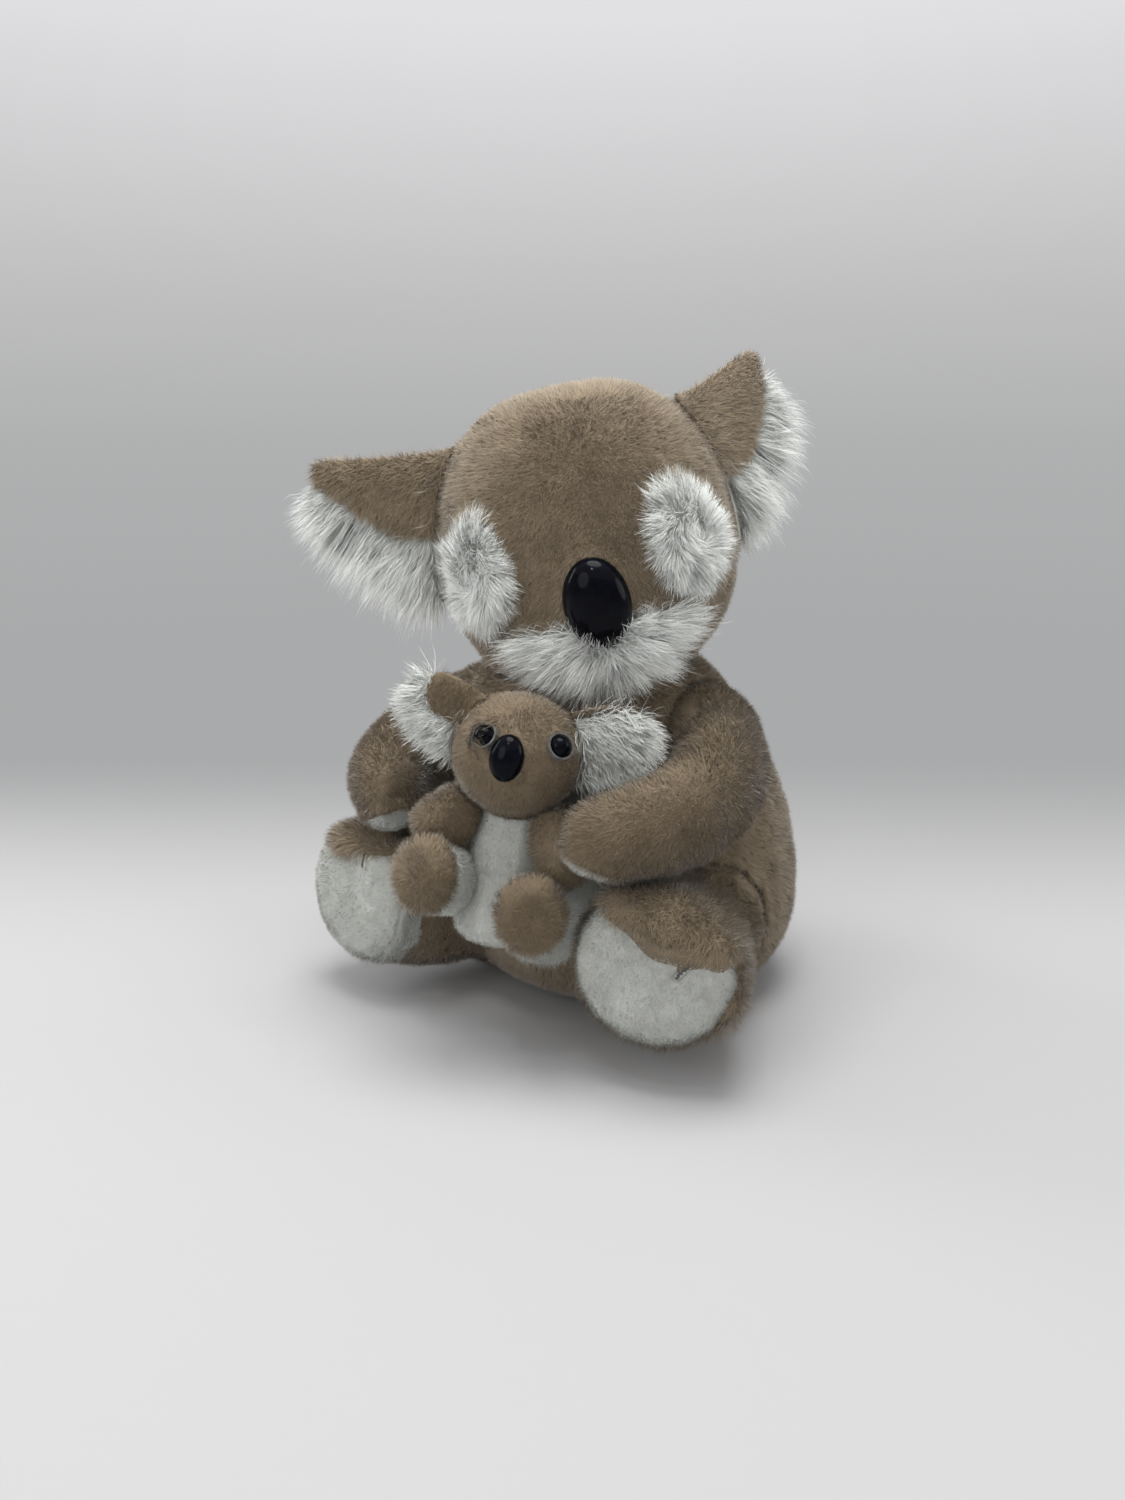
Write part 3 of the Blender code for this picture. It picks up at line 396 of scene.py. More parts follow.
# Soft noise: its waves, their speeds, their swerve, and what brings the sum to about 1
WAVE_COUNT = 6
WAVE_SPEED = 0.7
WAVE_SPEED_STEP = 0.25
SWERVE_SPEED = 0.6
SWERVE = 1.6
WAVE_SUM = 3.2
LEAST_LENGTH = 1e-9


def smooth_noise(places, scale, seed):
    """Soft noise from about -1 to 1 at each place, from a few crossed waves."""
    dice = np.random.default_rng(seed)
    total = np.zeros(len(places))
    for wave in range(WAVE_COUNT):
        way = dice.normal(size=3)
        way /= np.linalg.norm(way)
        bend = dice.normal(size=3)
        bend /= np.linalg.norm(bend)
        speed = math.tau / scale * (WAVE_SPEED + WAVE_SPEED_STEP * wave)
        swerve = np.sin(places @ bend * speed * SWERVE_SPEED + dice.uniform(0, math.tau))
        total += np.sin(places @ way * speed + SWERVE * swerve + dice.uniform(0, math.tau))
    return total / WAVE_SUM


def unit(vectors):
    return vectors / np.maximum(np.linalg.norm(vectors, axis=-1, keepdims=True), LEAST_LENGTH)


def square_to(ways, normals):
    """The part of each way that lies along the surface."""
    return ways - normals * np.einsum("nd,nd->n", ways, normals)[:, None]


def distances(places, place):
    return np.linalg.norm(places - place, axis=1)


# Strands: how far back their shading leans, and their margin in the layout
SHADE_BACK = 0.1
LAYOUT_SHARE = 0.96
LAYOUT_EDGE = 0.02
# Neighbours: how far they are sought, the least gap, where a point is laid, and what is dropped
SEARCH = 0.03
LEAST_GAP = 0.0003
LAID_GAP = 0.0004
DEEPEST = 0.0035
DEEPEST_SHARE = 0.8
LEAST_SPAN_SHARE = 0.25
# Tufts: how far their outlines wander, and over what distance, both in cells
TUFT_WARP = 0.6
TUFT_WARP_SCALE = 3.0
# Leans: how much more they are at a seam, their limits, and their share at the root and at the tip
SEAM_LEAN = 0.5
LEAN_LIMITS = (0.02, 1.8)
ROOT_LEAN = 0.6
TIP_LEAN = 1.5
TIP_RISE = 0.8
# Lengths: their wave, the shortest kept, and how much longer pile is at a seam
LENGTH_WAVE = 0.10
SHORTEST_SHARE = 0.3
SEAM_SHARE = 1.12
CLUMP_BEND = 1.3
# Tones
TONE_MIDDLE = 0.5
TONE_WAVE = 0.17
TONE_SWELL = 0.10
# Roots this free need no clearing unless the strand is long, and none stand under the toy
FREE_SHARE = 0.999
LONG_STRAND = 0.008
LOWEST_ROOT = 0.0008
LOWEST_POINT = 0.0004
MOST_FACES = 190000


def scatter(skin, density, seed):
    """Roots spread evenly over a skin: places, normals, and how free of neighbours they are."""
    dice = np.random.default_rng(seed)
    corners = triangles(skin.item.data)
    corners = corners[~skin.bare[corners].all(axis=1)]
    places, normals = vertex_arrays(skin.item)
    a, b, c = (places[corners[:, k]] for k in range(3))
    areas = np.linalg.norm(np.cross(b - a, c - a), axis=1) / 2
    count = int(areas.sum() * density)
    order = (np.arange(count) + dice.uniform(size=count)) / count
    picks = np.searchsorted(np.cumsum(areas) / areas.sum(), order).clip(0, len(areas) - 1)
    u = dice.uniform(size=count)
    v = dice.uniform(size=count)
    fold = u + v > 1
    u[fold] = 1 - u[fold]
    v[fold] = 1 - v[fold]
    shares = np.stack((1 - u - v, u, v), axis=1)
    picked = corners[picks]
    root = np.einsum("nk,nkd->nd", shares, places[picked])
    normal = unit(np.einsum("nk,nkd->nd", shares, normals[picked]))
    free = np.einsum("nk,nk->n", shares, skin.settle[picked])
    return root, normal, free


def ribbon_mesh(name, paths, widths, tones, normals, finish, seed, facing):
    """Thin flat strands that end in a point. facing turns their shading to their own broad side."""
    count, points, _ = paths.shape
    dice = np.random.default_rng(seed)
    ahead = unit(paths[:, -1] - paths[:, 0])
    across = unit(np.cross(ahead, normals) + dice.normal(scale=0.3, size=(count, 3)))
    across = unit(square_to(across, ahead))
    flip = np.einsum("nd,nd->n", np.cross(across, ahead), normals) < 0
    across[flip] *= -1
    half = across[:, None, :] * widths[:, :-1, None] / 2
    pairs = np.stack((paths[:, :-1] - half, paths[:, :-1] + half), axis=2).reshape(count, -1, 3)
    places = np.concatenate((pairs, paths[:, -1:]), axis=1)
    per_strand = 2 * (points - 1) + 1
    faces = []
    for low in range(0, 2 * (points - 2), 2):
        faces.append((low, low + 1, low + 3))
        faces.append((low, low + 3, low + 2))
    faces.append((per_strand - 3, per_strand - 2, per_strand - 1))
    faces = np.array(faces)
    corners = (np.arange(count)[:, None, None] * per_strand + faces[None]).reshape(-1, 3)
    mesh = bpy.data.meshes.new(name)
    mesh.vertices.add(count * per_strand)
    mesh.vertices.foreach_set("co", places.reshape(-1))
    mesh.loops.add(len(corners) * 3)
    mesh.loops.foreach_set("vertex_index", corners.reshape(-1).astype(np.int32))
    mesh.polygons.add(len(corners))
    mesh.polygons.foreach_set("loop_start", (np.arange(len(corners)) * 3).astype(np.int32))
    mesh.update(calc_edges=True)
    along = np.append(np.repeat(np.arange(points - 1) / (points - 1), 2), 1.0)
    layout = np.empty((count, per_strand, 2))
    layout[:, :, 0] = tones[:, None] * LAYOUT_SHARE + LAYOUT_EDGE
    layout[:, :, 1] = along * LAYOUT_SHARE + LAYOUT_EDGE
    uv = mesh.uv_layers.new(name="OFBake")
    uv.data.foreach_set("uv", layout.reshape(-1, 2)[corners.reshape(-1)].reshape(-1))
    broad = unit(np.cross(across, ahead))
    outward = unit(normals * (1 - facing) + broad * facing)
    sideways = across * dice.normal(scale=0.35, size=(count, 1))
    leaning = unit(outward + sideways - ahead * SHADE_BACK)
    mesh.polygons.foreach_set("use_smooth", np.ones(len(corners), dtype=bool))
    mesh.normals_split_custom_set_from_vertices(np.repeat(leaning, per_strand, axis=0).tolist())
    mesh.materials.append(finish)
    return new_object(name, mesh)


def keep_clear(paths, tree, tries, lengths):
    """Lay the points that would enter a neighbour on its surface, and drop what is buried."""
    keep = np.ones(len(paths), dtype=bool)
    for strand in tries:
        for index in range(1, paths.shape[1]):
            point = Vector(paths[strand, index])
            hit, normal, _, _ = tree.find_nearest(point, SEARCH)
            if hit is None:
                continue
            depth = (point - hit).dot(normal)
            if depth < LEAST_GAP:
                if depth < -min(DEEPEST_SHARE * lengths[strand], DEEPEST):
                    keep[strand] = False
                paths[strand, index] = hit + normal * LAID_GAP
    return keep & (np.linalg.norm(paths[:, -1] - paths[:, 0], axis=1) > LEAST_SPAN_SHARE * lengths)


def tufts(root, size, seed):
    """A number for the tuft that each root belongs to, in cells of uneven outline."""
    warp = np.stack([smooth_noise(root, TUFT_WARP_SCALE * size, seed + k) for k in range(3)], axis=1)
    cells = np.floor((root + warp * size * TUFT_WARP) / size).astype(np.int64)
    _, group = np.unique(cells, axis=0, return_inverse=True)
    return group.reshape(-1)


def strand_paths(root, normal, way, leans, lengths, points, sunk, droop):
    """Where each strand's points lie, from its sunk root to its leaning, drooping tip."""
    start = unit(normal + way * leans[:, None] * ROOT_LEAN)
    end = unit(normal * TIP_RISE + way * leans[:, None] * TIP_LEAN)
    steps = np.linspace(0, 1, points)
    paths = np.zeros((len(root), points, 3))
    paths[:, 0] = root - normal * sunk
    for index in range(1, points):
        share = (steps[index] + steps[index - 1]) / 2
        heading = unit(start * (1 - share) + end * share - UP * droop * share)
        paths[:, index] = paths[:, index - 1] + heading * (lengths / (points - 1))[:, None]
    return paths


def gather(paths, root, clump, clump_size, seed):
    """Draw the strands of each tuft together towards their tips."""
    group = tufts(root, clump_size, seed)
    sizes = np.bincount(group)
    points = paths.shape[1]
    steps = np.linspace(0, 1, points)
    for index in range(1, points):
        mean = np.stack([np.bincount(group, paths[:, index, k]) / sizes for k in range(3)], axis=1)
        paths[:, index] += (mean[group] - paths[:, index]) * clump * steps[index] ** CLUMP_BEND


def add_fur(skin, name, finish, slot, density, length, width, comb, seed, points=2, lean=0.85,
            sway=0.22, spread=0.80, clump=0.32, clump_size=0.0026, droop=0.0, fade=0.5,
            reach=None, tint=0.0, uneven=0.12, sunk=0.0004, facing=0.0, lit=0.0, where=None):
    """Grow strands from a skin.

    comb gives each root its lie along the surface, reach scales the lengths, tint shifts the
    tone by a number or from root to root, and where tells which roots grow a strand.
    """
    root, normal, free = scatter(skin, density, seed)
    if where is not None:
        chosen = where(root)
        root, normal, free = root[chosen], normal[chosen], free[chosen]
    dice = np.random.default_rng(seed + 1)
    count = len(root)
    way = unit(unit(square_to(comb(root, normal), normal)) + dice.normal(scale=spread, size=(count, 3)))
    swell = smooth_noise(root, scale=0.018, seed=seed + 2)
    leans = lean + sway * swell + dice.normal(scale=0.10, size=count) + SEAM_LEAN * (1 - free)
    leans = np.clip(leans, *LEAN_LIMITS)
    wave = smooth_noise(root, scale=0.009, seed=seed + 3)
    lengths = length * (1 + dice.normal(scale=uneven, size=count) + LENGTH_WAVE * wave)
    lengths = np.maximum(lengths, SHORTEST_SHARE * length)
    lengths *= SEAM_SHARE + (1 - SEAM_SHARE) * free
    if reach is not None:
        lengths = lengths * reach(root, free)
    paths = strand_paths(root, normal, way, leans, lengths, points, sunk, droop)
    gather(paths, root, clump, clump_size, seed + 20)
    keep = np.ones(count, dtype=bool)
    tree = joined_tree(beside(skin.node))
    if tree is not None:
        near = (free < FREE_SHARE) | (lengths > LONG_STRAND)
        keep = keep_clear(paths, tree, np.flatnonzero(near), lengths)
    paths[:, 1:, 2] = np.maximum(paths[:, 1:, 2], LOWEST_POINT)
    keep &= root[:, 2] > LOWEST_ROOT
    tone = TONE_MIDDLE + TONE_WAVE * smooth_noise(root, scale=0.011, seed=seed + 5) + TONE_SWELL * swell
    tone += dice.normal(scale=0.10, size=count)
    tone += tint(root, free) if callable(tint) else tint
    thin = np.linspace(1.0, fade, points)
    widths = width * (1 + dice.normal(scale=0.15, size=count))[:, None] * thin[None]
    faces = 2 * (points - 2) + 1
    order = np.flatnonzero(keep)
    pieces = -(-len(order) * faces // MOST_FACES)
    for number, part in enumerate(np.array_split(order, pieces), start=1):
        label = name if pieces == 1 else f"{name}_{number}"
        fur = ribbon_mesh(label, paths[part], widths[part], np.clip(tone[part], 0, 1),
                          unit(normal[part] + UP * lit), finish, seed + 30 + number, facing)
        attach(fur, BODY_OF[skin.node])


BROWN_WIDTH = 0.00029
BROWN_DENSITY = 2.6e6
WHITE_WIDTH_SHARE = 0.9
WHITE_DENSITY_SHARE = 1.3
FUR_WIDTH = 0.00024
FUR_DENSITY_SHARE = 1.0


def brown_pile(skin, name, comb, length, seed, **more):
    add_fur(skin, name, BROWN_PILE, "brown_plush", BROWN_DENSITY, length, BROWN_WIDTH, comb, seed, **more)


def white_pile(skin, name, comb, length, seed, **more):
    add_fur(skin, name, WHITE_PILE, "short_white_plush", BROWN_DENSITY * WHITE_DENSITY_SHARE, length,
            BROWN_WIDTH * WHITE_WIDTH_SHARE, comb, seed, lean=0.7, sway=0.15, clump=0.25,
            clump_size=0.0024, **more)


def long_fur(skin, name, comb, length, seed, density, facing=0.12, lit=0.55, **more):
    add_fur(skin, name, WHITE_FUR, "long_white_fur", density * FUR_DENSITY_SHARE, length, FUR_WIDTH,
            comb, seed, points=4, facing=facing, lit=lit, **more)


def wander(root, normal, share, scale, seed, axis=UP):
    """A slow wander of the pile to both sides of its lie."""
    return np.cross(normal, axis) * share * smooth_noise(root, scale, seed)[:, None]


def downward(root, normal):
    return -UP + wander(root, normal, share=0.5, scale=0.07, seed=11)


def down_and_back(root, normal):
    down, back = 0.8, 0.5
    return -UP * down - FACE_WAY * back + wander(root, normal, share=0.4, scale=0.06, seed=12)


# Pieces of the big koala
def make_trunk():
    brown_pile(make_skin("body"), "body_pile", downward, length=0.0048, seed=1)
    white_pile(make_skin("belly_panel"), "belly_pile", downward, length=0.0035, seed=5)
    brown_pile(make_skin("head"), "head_pile", down_and_back, length=0.0045, seed=11)


# The palms and soles lie in front of PADS_FRONT. A sole has a crease and a dart slit, in X and Z
PADS_FRONT = -0.085
SOLE_LINES = {
    "left": (
        ((0.123, 0.079), (0.111, 0.064), (0.105, 0.051), (0.118, 0.046)),
        ((0.123, 0.079), (0.110, 0.0625)),
    ),
    "right": (
        ((-0.082, 0.090), (-0.082, 0.080), (-0.077, 0.064), (-0.060, 0.058)),
        ((-0.082, 0.090), (-0.082, 0.0795)),
    ),
}
CREASE_DEPTH = 0.0008
SLIT_DEPTH = 0.0022
IN_SLIT = 0.5


def mounds(away, width):
    """A round rise that is 1 in its middle and fades over width."""
    return np.exp(-((away / width) ** 2))


def groove(places, line, width):
    """How deep in a crease each place lies, from 0 to 1. The line is given in X and Z."""
    depth = np.zeros(len(places))
    flat = places[:, (0, 2)]
    for (x0, z0), (x1, z1) in zip(line, line[1:]):
        start = np.array((x0, z0))
        along = np.array((x1, z1)) - start
        share = np.clip((flat - start) @ along / (along @ along), 0, 1)
        away = np.linalg.norm(flat - start - share[:, None] * along, axis=1)
        depth = np.maximum(depth, mounds(away, width))
    return depth * (places[:, 1] < PADS_FRONT)


def in_slits(places, width):
    return np.maximum(*(groove(places, slit, width) for _, slit in SOLE_LINES.values())) > IN_SLIT


def outside_slits(root):
    """Where a pad bears pile: not in the darts of the soles."""
    return ~in_slits(root, width=0.0016)


# Faces in the soles' darts that take dark felt: painted shade in the slits
def painted_slit_shade(middles):
    return in_slits(middles, width=0.0011)


def creased(name):
    """The shape of a sole: its crease and its dart slit."""
    crease, slit = SOLE_LINES[name]

    def shape(places, normals, settle, inset):
        moved = places - normals * inset
        moved = moved - normals * (CREASE_DEPTH * groove(places, crease, width=0.0034))[:, None]
        return moved - normals * (SLIT_DEPTH * groove(places, slit, width=0.0014))[:, None]

    return shape


# Lumps of the insteps: x, y, z, width and rise
INSTEP_LUMPS = {
    "left": (
        (0.104, -0.104, 0.087, 0.018, 0.0110),
        (0.078, -0.106, 0.092, 0.010, 0.0080),
        (0.128, -0.098, 0.074, 0.012, 0.0045),
        (0.134, -0.092, 0.045, 0.016, 0.0035),
    ),
    "right": ((-0.100, -0.104, 0.093, 0.014, 0.0050),),
}
INSTEP_REACH = 0.3
LUMP_REACH = 0.5


def lumpy(name):
    """The shape of a leg: lumps where its instep folds over the sole."""
    def shape(places, normals, settle, inset):
        moved = drawn_in(places, normals, settle, inset)
        for *top, width, rise in INSTEP_LUMPS[name]:
            moved = moved + normals * (rise * mounds(distances(places, top), width))[:, None]
        return moved

    return shape


def instep_reach(name, sole):
    """Pile that is longer at the sole's edge and on the lumps."""
    def reach(root, free):
        off_edge = smooth_step(gaps_to(sole, root), low=0.003, high=0.008)
        more = (1 + INSTEP_REACH) - INSTEP_REACH * off_edge
        for *top, width, _ in INSTEP_LUMPS[name]:
            more += LUMP_REACH * mounds(distances(root, top), width)
        return more

    return reach


def along_arm(side):
    def comb(root, normal):
        paw_front, inward, back, down = -0.075, 0.9, 0.8, 0.45
        across = np.where(root[:, 1] < paw_front, -side * inward, 0.0)
        lie = np.stack((across, np.full_like(across, -back), np.full_like(across, -down)), axis=1)
        return lie + wander(root, normal, share=0.3, scale=0.05, seed=31)

    return comb


def along_leg(side):
    def comb(root, normal):
        outward, forward, down = 0.2, 0.8, 0.35
        lie = np.array((side * outward, -forward, -down))
        return lie + wander(root, normal, share=0.4, scale=0.05, seed=41)

    return comb


# The right sole's white cloth runs past its pad as a hem, low on the inner side
def make_hem(leg, sole, comb, seed, **more):
    def pale(root):
        width, inner_side, front, top = 0.0110, -0.092, -0.075, 0.064
        inner = (root[:, 0] > inner_side) & (root[:, 2] < top)
        return (gaps_to(sole, root) < width) & inner & (root[:, 1] < front)

    def brown(root):
        return ~pale(root)

    brown_pile(leg, "leg_right_pile", comb=comb, seed=seed, where=brown, **more)
    white_pile(leg, "leg_right_hem", comb, length=0.0044, seed=seed + 6, where=pale)
    paint(leg.item, WHITE_SKIN, pale)


def make_pad(node, comb, seed, shape=drawn_in):
    skin = make_skin(node, shape)
    white_pile(skin, f"{node}_pile", comb, length=0.0028, seed=seed, where=outside_slits)
    return skin


def make_limbs():
    for side, name in SIDES:
        seed = 21 + side
        comb = along_arm(side)
        # The left arm's pile is toned darker: painted shade, since that arm lies in shade
        brown_pile(make_skin(f"arm_{name}"), f"arm_{name}_pile", comb, length=0.0052, seed=seed,
                   tint=-0.20 - 0.20 * side)
        make_pad(f"palm_pad_{name}", comb, seed + 3)
        seed = 51 + side
        comb = along_leg(side)
        tree = joined_tree((f"sole_pad_{name}",))
        leg = make_skin(f"leg_{name}", lumpy(name))
        pile = {"length": 0.0050, "comb": comb, "seed": seed, "reach": instep_reach(name, tree)}
        if name == "right":
            make_hem(leg, tree, **pile)
        else:
            brown_pile(leg, f"leg_{name}_pile", **pile)
        sole = make_pad(f"sole_pad_{name}", comb, seed + 3, creased(name))
        # Dark felt in the sole's dart: painted shade in the slit
        paint(sole.item, FELT, painted_slit_shade)


# The left ear's tip is lifted
EAR_LIFT = {"left": 0.010, "right": 0.0}


def raised(name):
    """The shape of an ear's pieces: drawn in, with the tip lifted."""
    def shape(places, normals, settle, inset):
        lift = EAR_LIFT[name] * smooth_step(places[:, 2], low=0.310, high=0.345)
        return drawn_in(places, normals, settle, inset) + HEAD_UP * lift[:, None]

    return shape


def over_fold(away):
    """Pile that runs outward and down over the ear's fold."""
    def comb(root, normal):
        outward, down = 0.5, 0.9
        lie = away * outward - HEAD_UP * down
        return lie + wander(root, normal, share=0.25, scale=0.03, seed=61, axis=away)

    return comb


def lining_edge(name):
    """The reach and the tint of an ear's brown pile, longer and paler near the lining's edge."""
    longer, paler = 0.55, 0.22
    lining = joined_tree((f"ear_lining_{name}",))

    def edge(root):
        return 1 - smooth_step(gaps_to(lining, root), low=0.004, high=0.011)

    def reach(root, free):
        return (1 + longer * edge(root)) / (SEAM_SHARE + (1 - SEAM_SHARE) * free)

    def tint(root, free):
        return paler * edge(root) * (1 + smooth_noise(root, scale=0.012, seed=64))

    return {"reach": reach, "tint": tint}


def outflow(hinge):
    """Fur that runs out from an ear's root and hangs."""
    def comb(root, normal):
        forward, down, share = 0.01, 0.75, 0.35
        swerve = smooth_noise(root, scale=0.02, seed=62)[:, None] * share * np.cross(normal, UP)
        return unit(root - hinge - FACE_WAY * forward) - UP * down + swerve

    return comb


def fringe_reach(side, name):
    """A fringe that is shorter under the flap and at the tip, and longer low on the right ear."""
    under_flap, cut, more = 0.5, 0.22, 0.30
    flap = joined_tree((f"ear_{name}", "head"))
    low, high = BOXES[f"ear_lining_{name}"]
    tall = high[2] - low[2]

    def reach(root, free):
        off_flap = smooth_step(gaps_to(flap, root), low=0.001, high=0.010)
        inside = under_flap + (1 - under_flap) * off_flap
        outer = smooth_step(np.abs(root[:, 0]), low=0.112, high=0.130)
        height = (root[:, 2] - low[2]) / tall
        hanging = (1 - smooth_step(height, low=0.10, high=0.45)) * (side < 0)
        return inside * (1 - cut * outer) * (1 + more * hanging)

    return reach


def make_ears():
    head = joined_tree(("head",))

    def off_head(root):
        least = 0.003
        return gaps_to(head, root) > least

    for side, name in SIDES:
        ear = make_skin(f"ear_{name}", raised(name))
        brown_pile(ear, f"ear_{name}_pile", over_fold(HEAD_LEFT * side),
                   length=0.0047, seed=71 + side, **lining_edge(name))
        lining = make_skin(f"ear_lining_{name}", raised(name))
        long_fur(lining, f"ear_{name}_fur", outflow(JOINT_PLACES[f"{name}_ear_flex"]),
                 length=0.0205, seed=81 + side, density=2.2e6, lean=0.95, clump=0.34,
                 clump_size=0.0055, droop=0.35, spread=0.45, uneven=0.28, facing=0.3,
                 reach=fringe_reach(side, name), where=off_head)


# The face's long fur stands on low mounds: their height, and the search for the head
MOUND_HEIGHT = 0.45
MOUND_SEARCH = 0.1
# Fur this near the nose's middle lies towards it
NOSE_ROOM = 0.031


def node_centre(node):
    low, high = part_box(node)
    return np.array((low + high) / 2)


def mound(shrink):
    """A shape that lies low on the head, for fur to stand out from."""
    head = joined_tree(("head",))

    def shape(places, normals, settle, inset):
        middle = places.mean(axis=0)
        moved = np.empty_like(places)
        for index, place in enumerate(places):
            drawn = middle + (place - middle) * shrink
            hit = head.find_nearest(drawn.tolist(), MOUND_SEARCH)[0]
            moved[index] = hit + (Vector(drawn) - hit) * MOUND_HEIGHT
        return moved

    return shape


def swirl(eye, side):
    """Fur that lies towards the eye beside it and turns outward further off."""
    def comb(root, normal):
        turned, turning, swerve, down = 1.9, 0.6, 40, 0.25
        away = root - eye
        near = 1 - smooth_step(distances(root, eye), low=0.008, high=0.016)
        bend = smooth_noise(root, scale=0.02, seed=65 + side)[:, None] * np.cross(normal, away)
        inward = unit(away) * (1.0 - turned * near)[:, None]
        around = np.cross(normal, unit(away)) * (turning * side)
        return inward + around + unit(bend) * np.abs(bend) * swerve - HEAD_UP * down

    return comb


def leaf(eye, side):
    """Lengths that give a patch a leaf's outline, its tip up and towards the face's middle."""
    tilt = 0.35
    tip_way = unit(HEAD_UP - HEAD_LEFT * side * tilt)

    def reach(root, free):
        tip_more, shoulder_less, wave = 0.34, 0.22, 0.16
        rise = unit(root - eye) @ tip_way
        tip = smooth_step(rise, low=0.80, high=0.98)
        shoulder = smooth_step(rise, low=0.35, high=0.75) * (1 - tip)
        swell = wave * smooth_noise(root, scale=0.016, seed=66)
        return 1.0 + tip_more * tip - shoulder_less * shoulder + swell

    return reach


def patch_light_and_hollow_shade(eye):
    """Tones paler over the patch and darker towards the sunk eye: painted light on the patch and painted shade in
    the hollow round the eye.
    """
    def tint(root, free):
        outside, darkening, wave = 0.42, 0.92, 0.5
        depth = 1 - smooth_step(distances(root, eye), low=0.006, high=0.0095)
        return outside - darkening * depth * (1 + wave * smooth_noise(root, scale=0.009, seed=72))

    return tint


def make_face():
    for side, name in SIDES:
        eye = node_centre(f"eye_{name}")
        patch = make_skin(f"eye_patch_{name}", mound(shrink=0.85))
        long_fur(patch, f"eye_{name}_fur", swirl(eye, side), length=0.0108, seed=91 + side,
                 density=4.4e6, lean=1.05, clump=0.42, clump_size=0.0060, droop=0.1, spread=0.40,
                 uneven=0.25, reach=leaf(eye, side), tint=patch_light_and_hollow_shade(eye))


def make_muzzle():
    nose = node_centre("nose")
    middle = node_centre("muzzle_fluff")

    def below_nose(root, normal):
        outward, off_nose, down, swerve = 0.9, 0.25, 0.1, 0.35
        bend = smooth_noise(root, scale=0.022, seed=68)[:, None] * np.cross(normal, HEAD_UP)
        lie = unit(root - middle) * outward + unit(root - nose) * off_nose
        return lie - HEAD_UP * down + bend * swerve

    def longer_below(root, free):
        least, outer_share, wave = 0.50, 0.8, 0.12
        below = smooth_step(-((root - middle) @ HEAD_UP), low=-0.012, high=0.010)
        outer = smooth_step(np.abs((root - middle) @ HEAD_LEFT), low=0.020, high=0.036)
        more = np.maximum(below, outer_share * outer)
        return least + (1 - least) * more + wave * smooth_noise(root, scale=0.012, seed=69)

    def near_nose(root):
        return distances(root, nose) < NOSE_ROOM

    def over_nose(root, normal):
        rise = 0.2
        return unit(nose - root) + HEAD_UP * rise

    muzzle = make_skin("muzzle_fluff", mound(shrink=0.88))
    long_fur(muzzle, "muzzle_nose_fur", over_nose, length=0.0120, seed=97, density=0.8e6, lean=0.8,
             clump=0.6, clump_size=0.0050, spread=0.45, uneven=0.35, where=near_nose)
    # Its fur is toned paler all over: painted light, as the muzzle faces down and gets little light
    long_fur(muzzle, "muzzle_fur", below_nose, length=0.0200, seed=95, density=2.6e6, lean=0.80,
             clump=0.6, clump_size=0.0062, droop=0.15, spread=0.50, uneven=0.32, reach=longer_below,
             tint=0.28)


# The baby
LID_ROOM = 0.0125
LID_EDGE = -0.35


def baby_pile(skin, name, comb, length, seed, **more):
    # The baby's pile is toned darker all over: painted shade, as the baby sits in the mother's shade
    brown_pile(skin, name, comb, length, seed, tint=-0.54, uneven=0.20, clump=0.5,
               clump_size=0.0024, **more)


def fuller(growth, lift):
    """A shape that swells and rises where it has room."""
    def shape(places, normals, settle, inset):
        heights = places[:, 2]
        share = (heights - heights.min()) / np.ptp(heights)
        swell = normals * (growth * settle)[:, None]
        return places + swell + UP * (lift * share * settle)[:, None]

    return shape


def rim_out(toes):
    """Pile that runs outward from the middle of a foot's sole."""
    def comb(root, normal):
        return unit(root - toes) + wander(root, normal, share=0.3, scale=0.02, seed=63)

    return comb


def make_baby_head():
    """The head's pile, and longer pile that half covers the right eye."""
    eye = node_centre("baby_eye_right")
    up, right, forward = 0.5, 0.8, 0.2
    lid_way = unit(HEAD_UP * up - HEAD_LEFT * right + FACE_WAY * forward)

    def to_eye(root, normal):
        down = 0.3
        return unit(eye - root) - UP * down

    def round_eye(root):
        return (distances(root, eye) < LID_ROOM) & (unit(root - eye) @ lid_way > LID_EDGE)

    skin = make_skin("baby_head")
    baby_pile(skin, "baby_head_pile", down_and_back, length=0.0034, seed=113)
    baby_pile(skin, "baby_lid_pile", to_eye, length=0.0095, seed=115, lean=1.7, sway=0.1,
              spread=0.35, where=round_eye)


def make_baby_limbs():
    centre = node_centre("baby_head")

    def fan(root, normal):
        down = 0.35
        return unit(root - centre) - UP * down

    for side, name in SIDES:
        arm = make_skin(f"baby_arm_{name}", fuller(growth=0.0015, lift=0.004))
        baby_pile(arm, f"baby_arm_{name}_pile", downward, length=0.0046, seed=121 + side)
        leg = make_skin(f"baby_leg_{name}", fuller(growth=0.0, lift=0.002))
        white_pile(leg, f"baby_leg_{name}_pile", downward, length=0.0030, seed=131 + side)
        toes = node_centre(f"baby_sole_{name}")
        sole = make_skin(f"baby_sole_{name}", fuller(growth=0.0005, lift=0.005))
        baby_pile(sole, f"baby_sole_{name}_pile", rim_out(toes), length=0.0048, seed=134 + side,
                  lean=0.6)
        ear = make_skin(f"baby_ear_{name}")
        baby_pile(ear, f"baby_ear_{name}_pile", downward, length=0.0050, seed=141 + side)
        lining = make_skin(f"baby_ear_lining_{name}")
        long_fur(lining, f"baby_ear_{name}_fur", fan, length=0.0125, seed=151 + side,
                 density=2.6e6, lean=0.95, clump=0.5, clump_size=0.004, droop=0.2, uneven=0.30)


def make_baby():
    baby_pile(make_skin("baby_body"), "baby_body_pile", downward, length=0.0032, seed=111)
    white_pile(make_skin("baby_belly_panel"), "baby_belly_pile", downward, length=0.0028, seed=112)
    make_baby_head()
    make_baby_limbs()


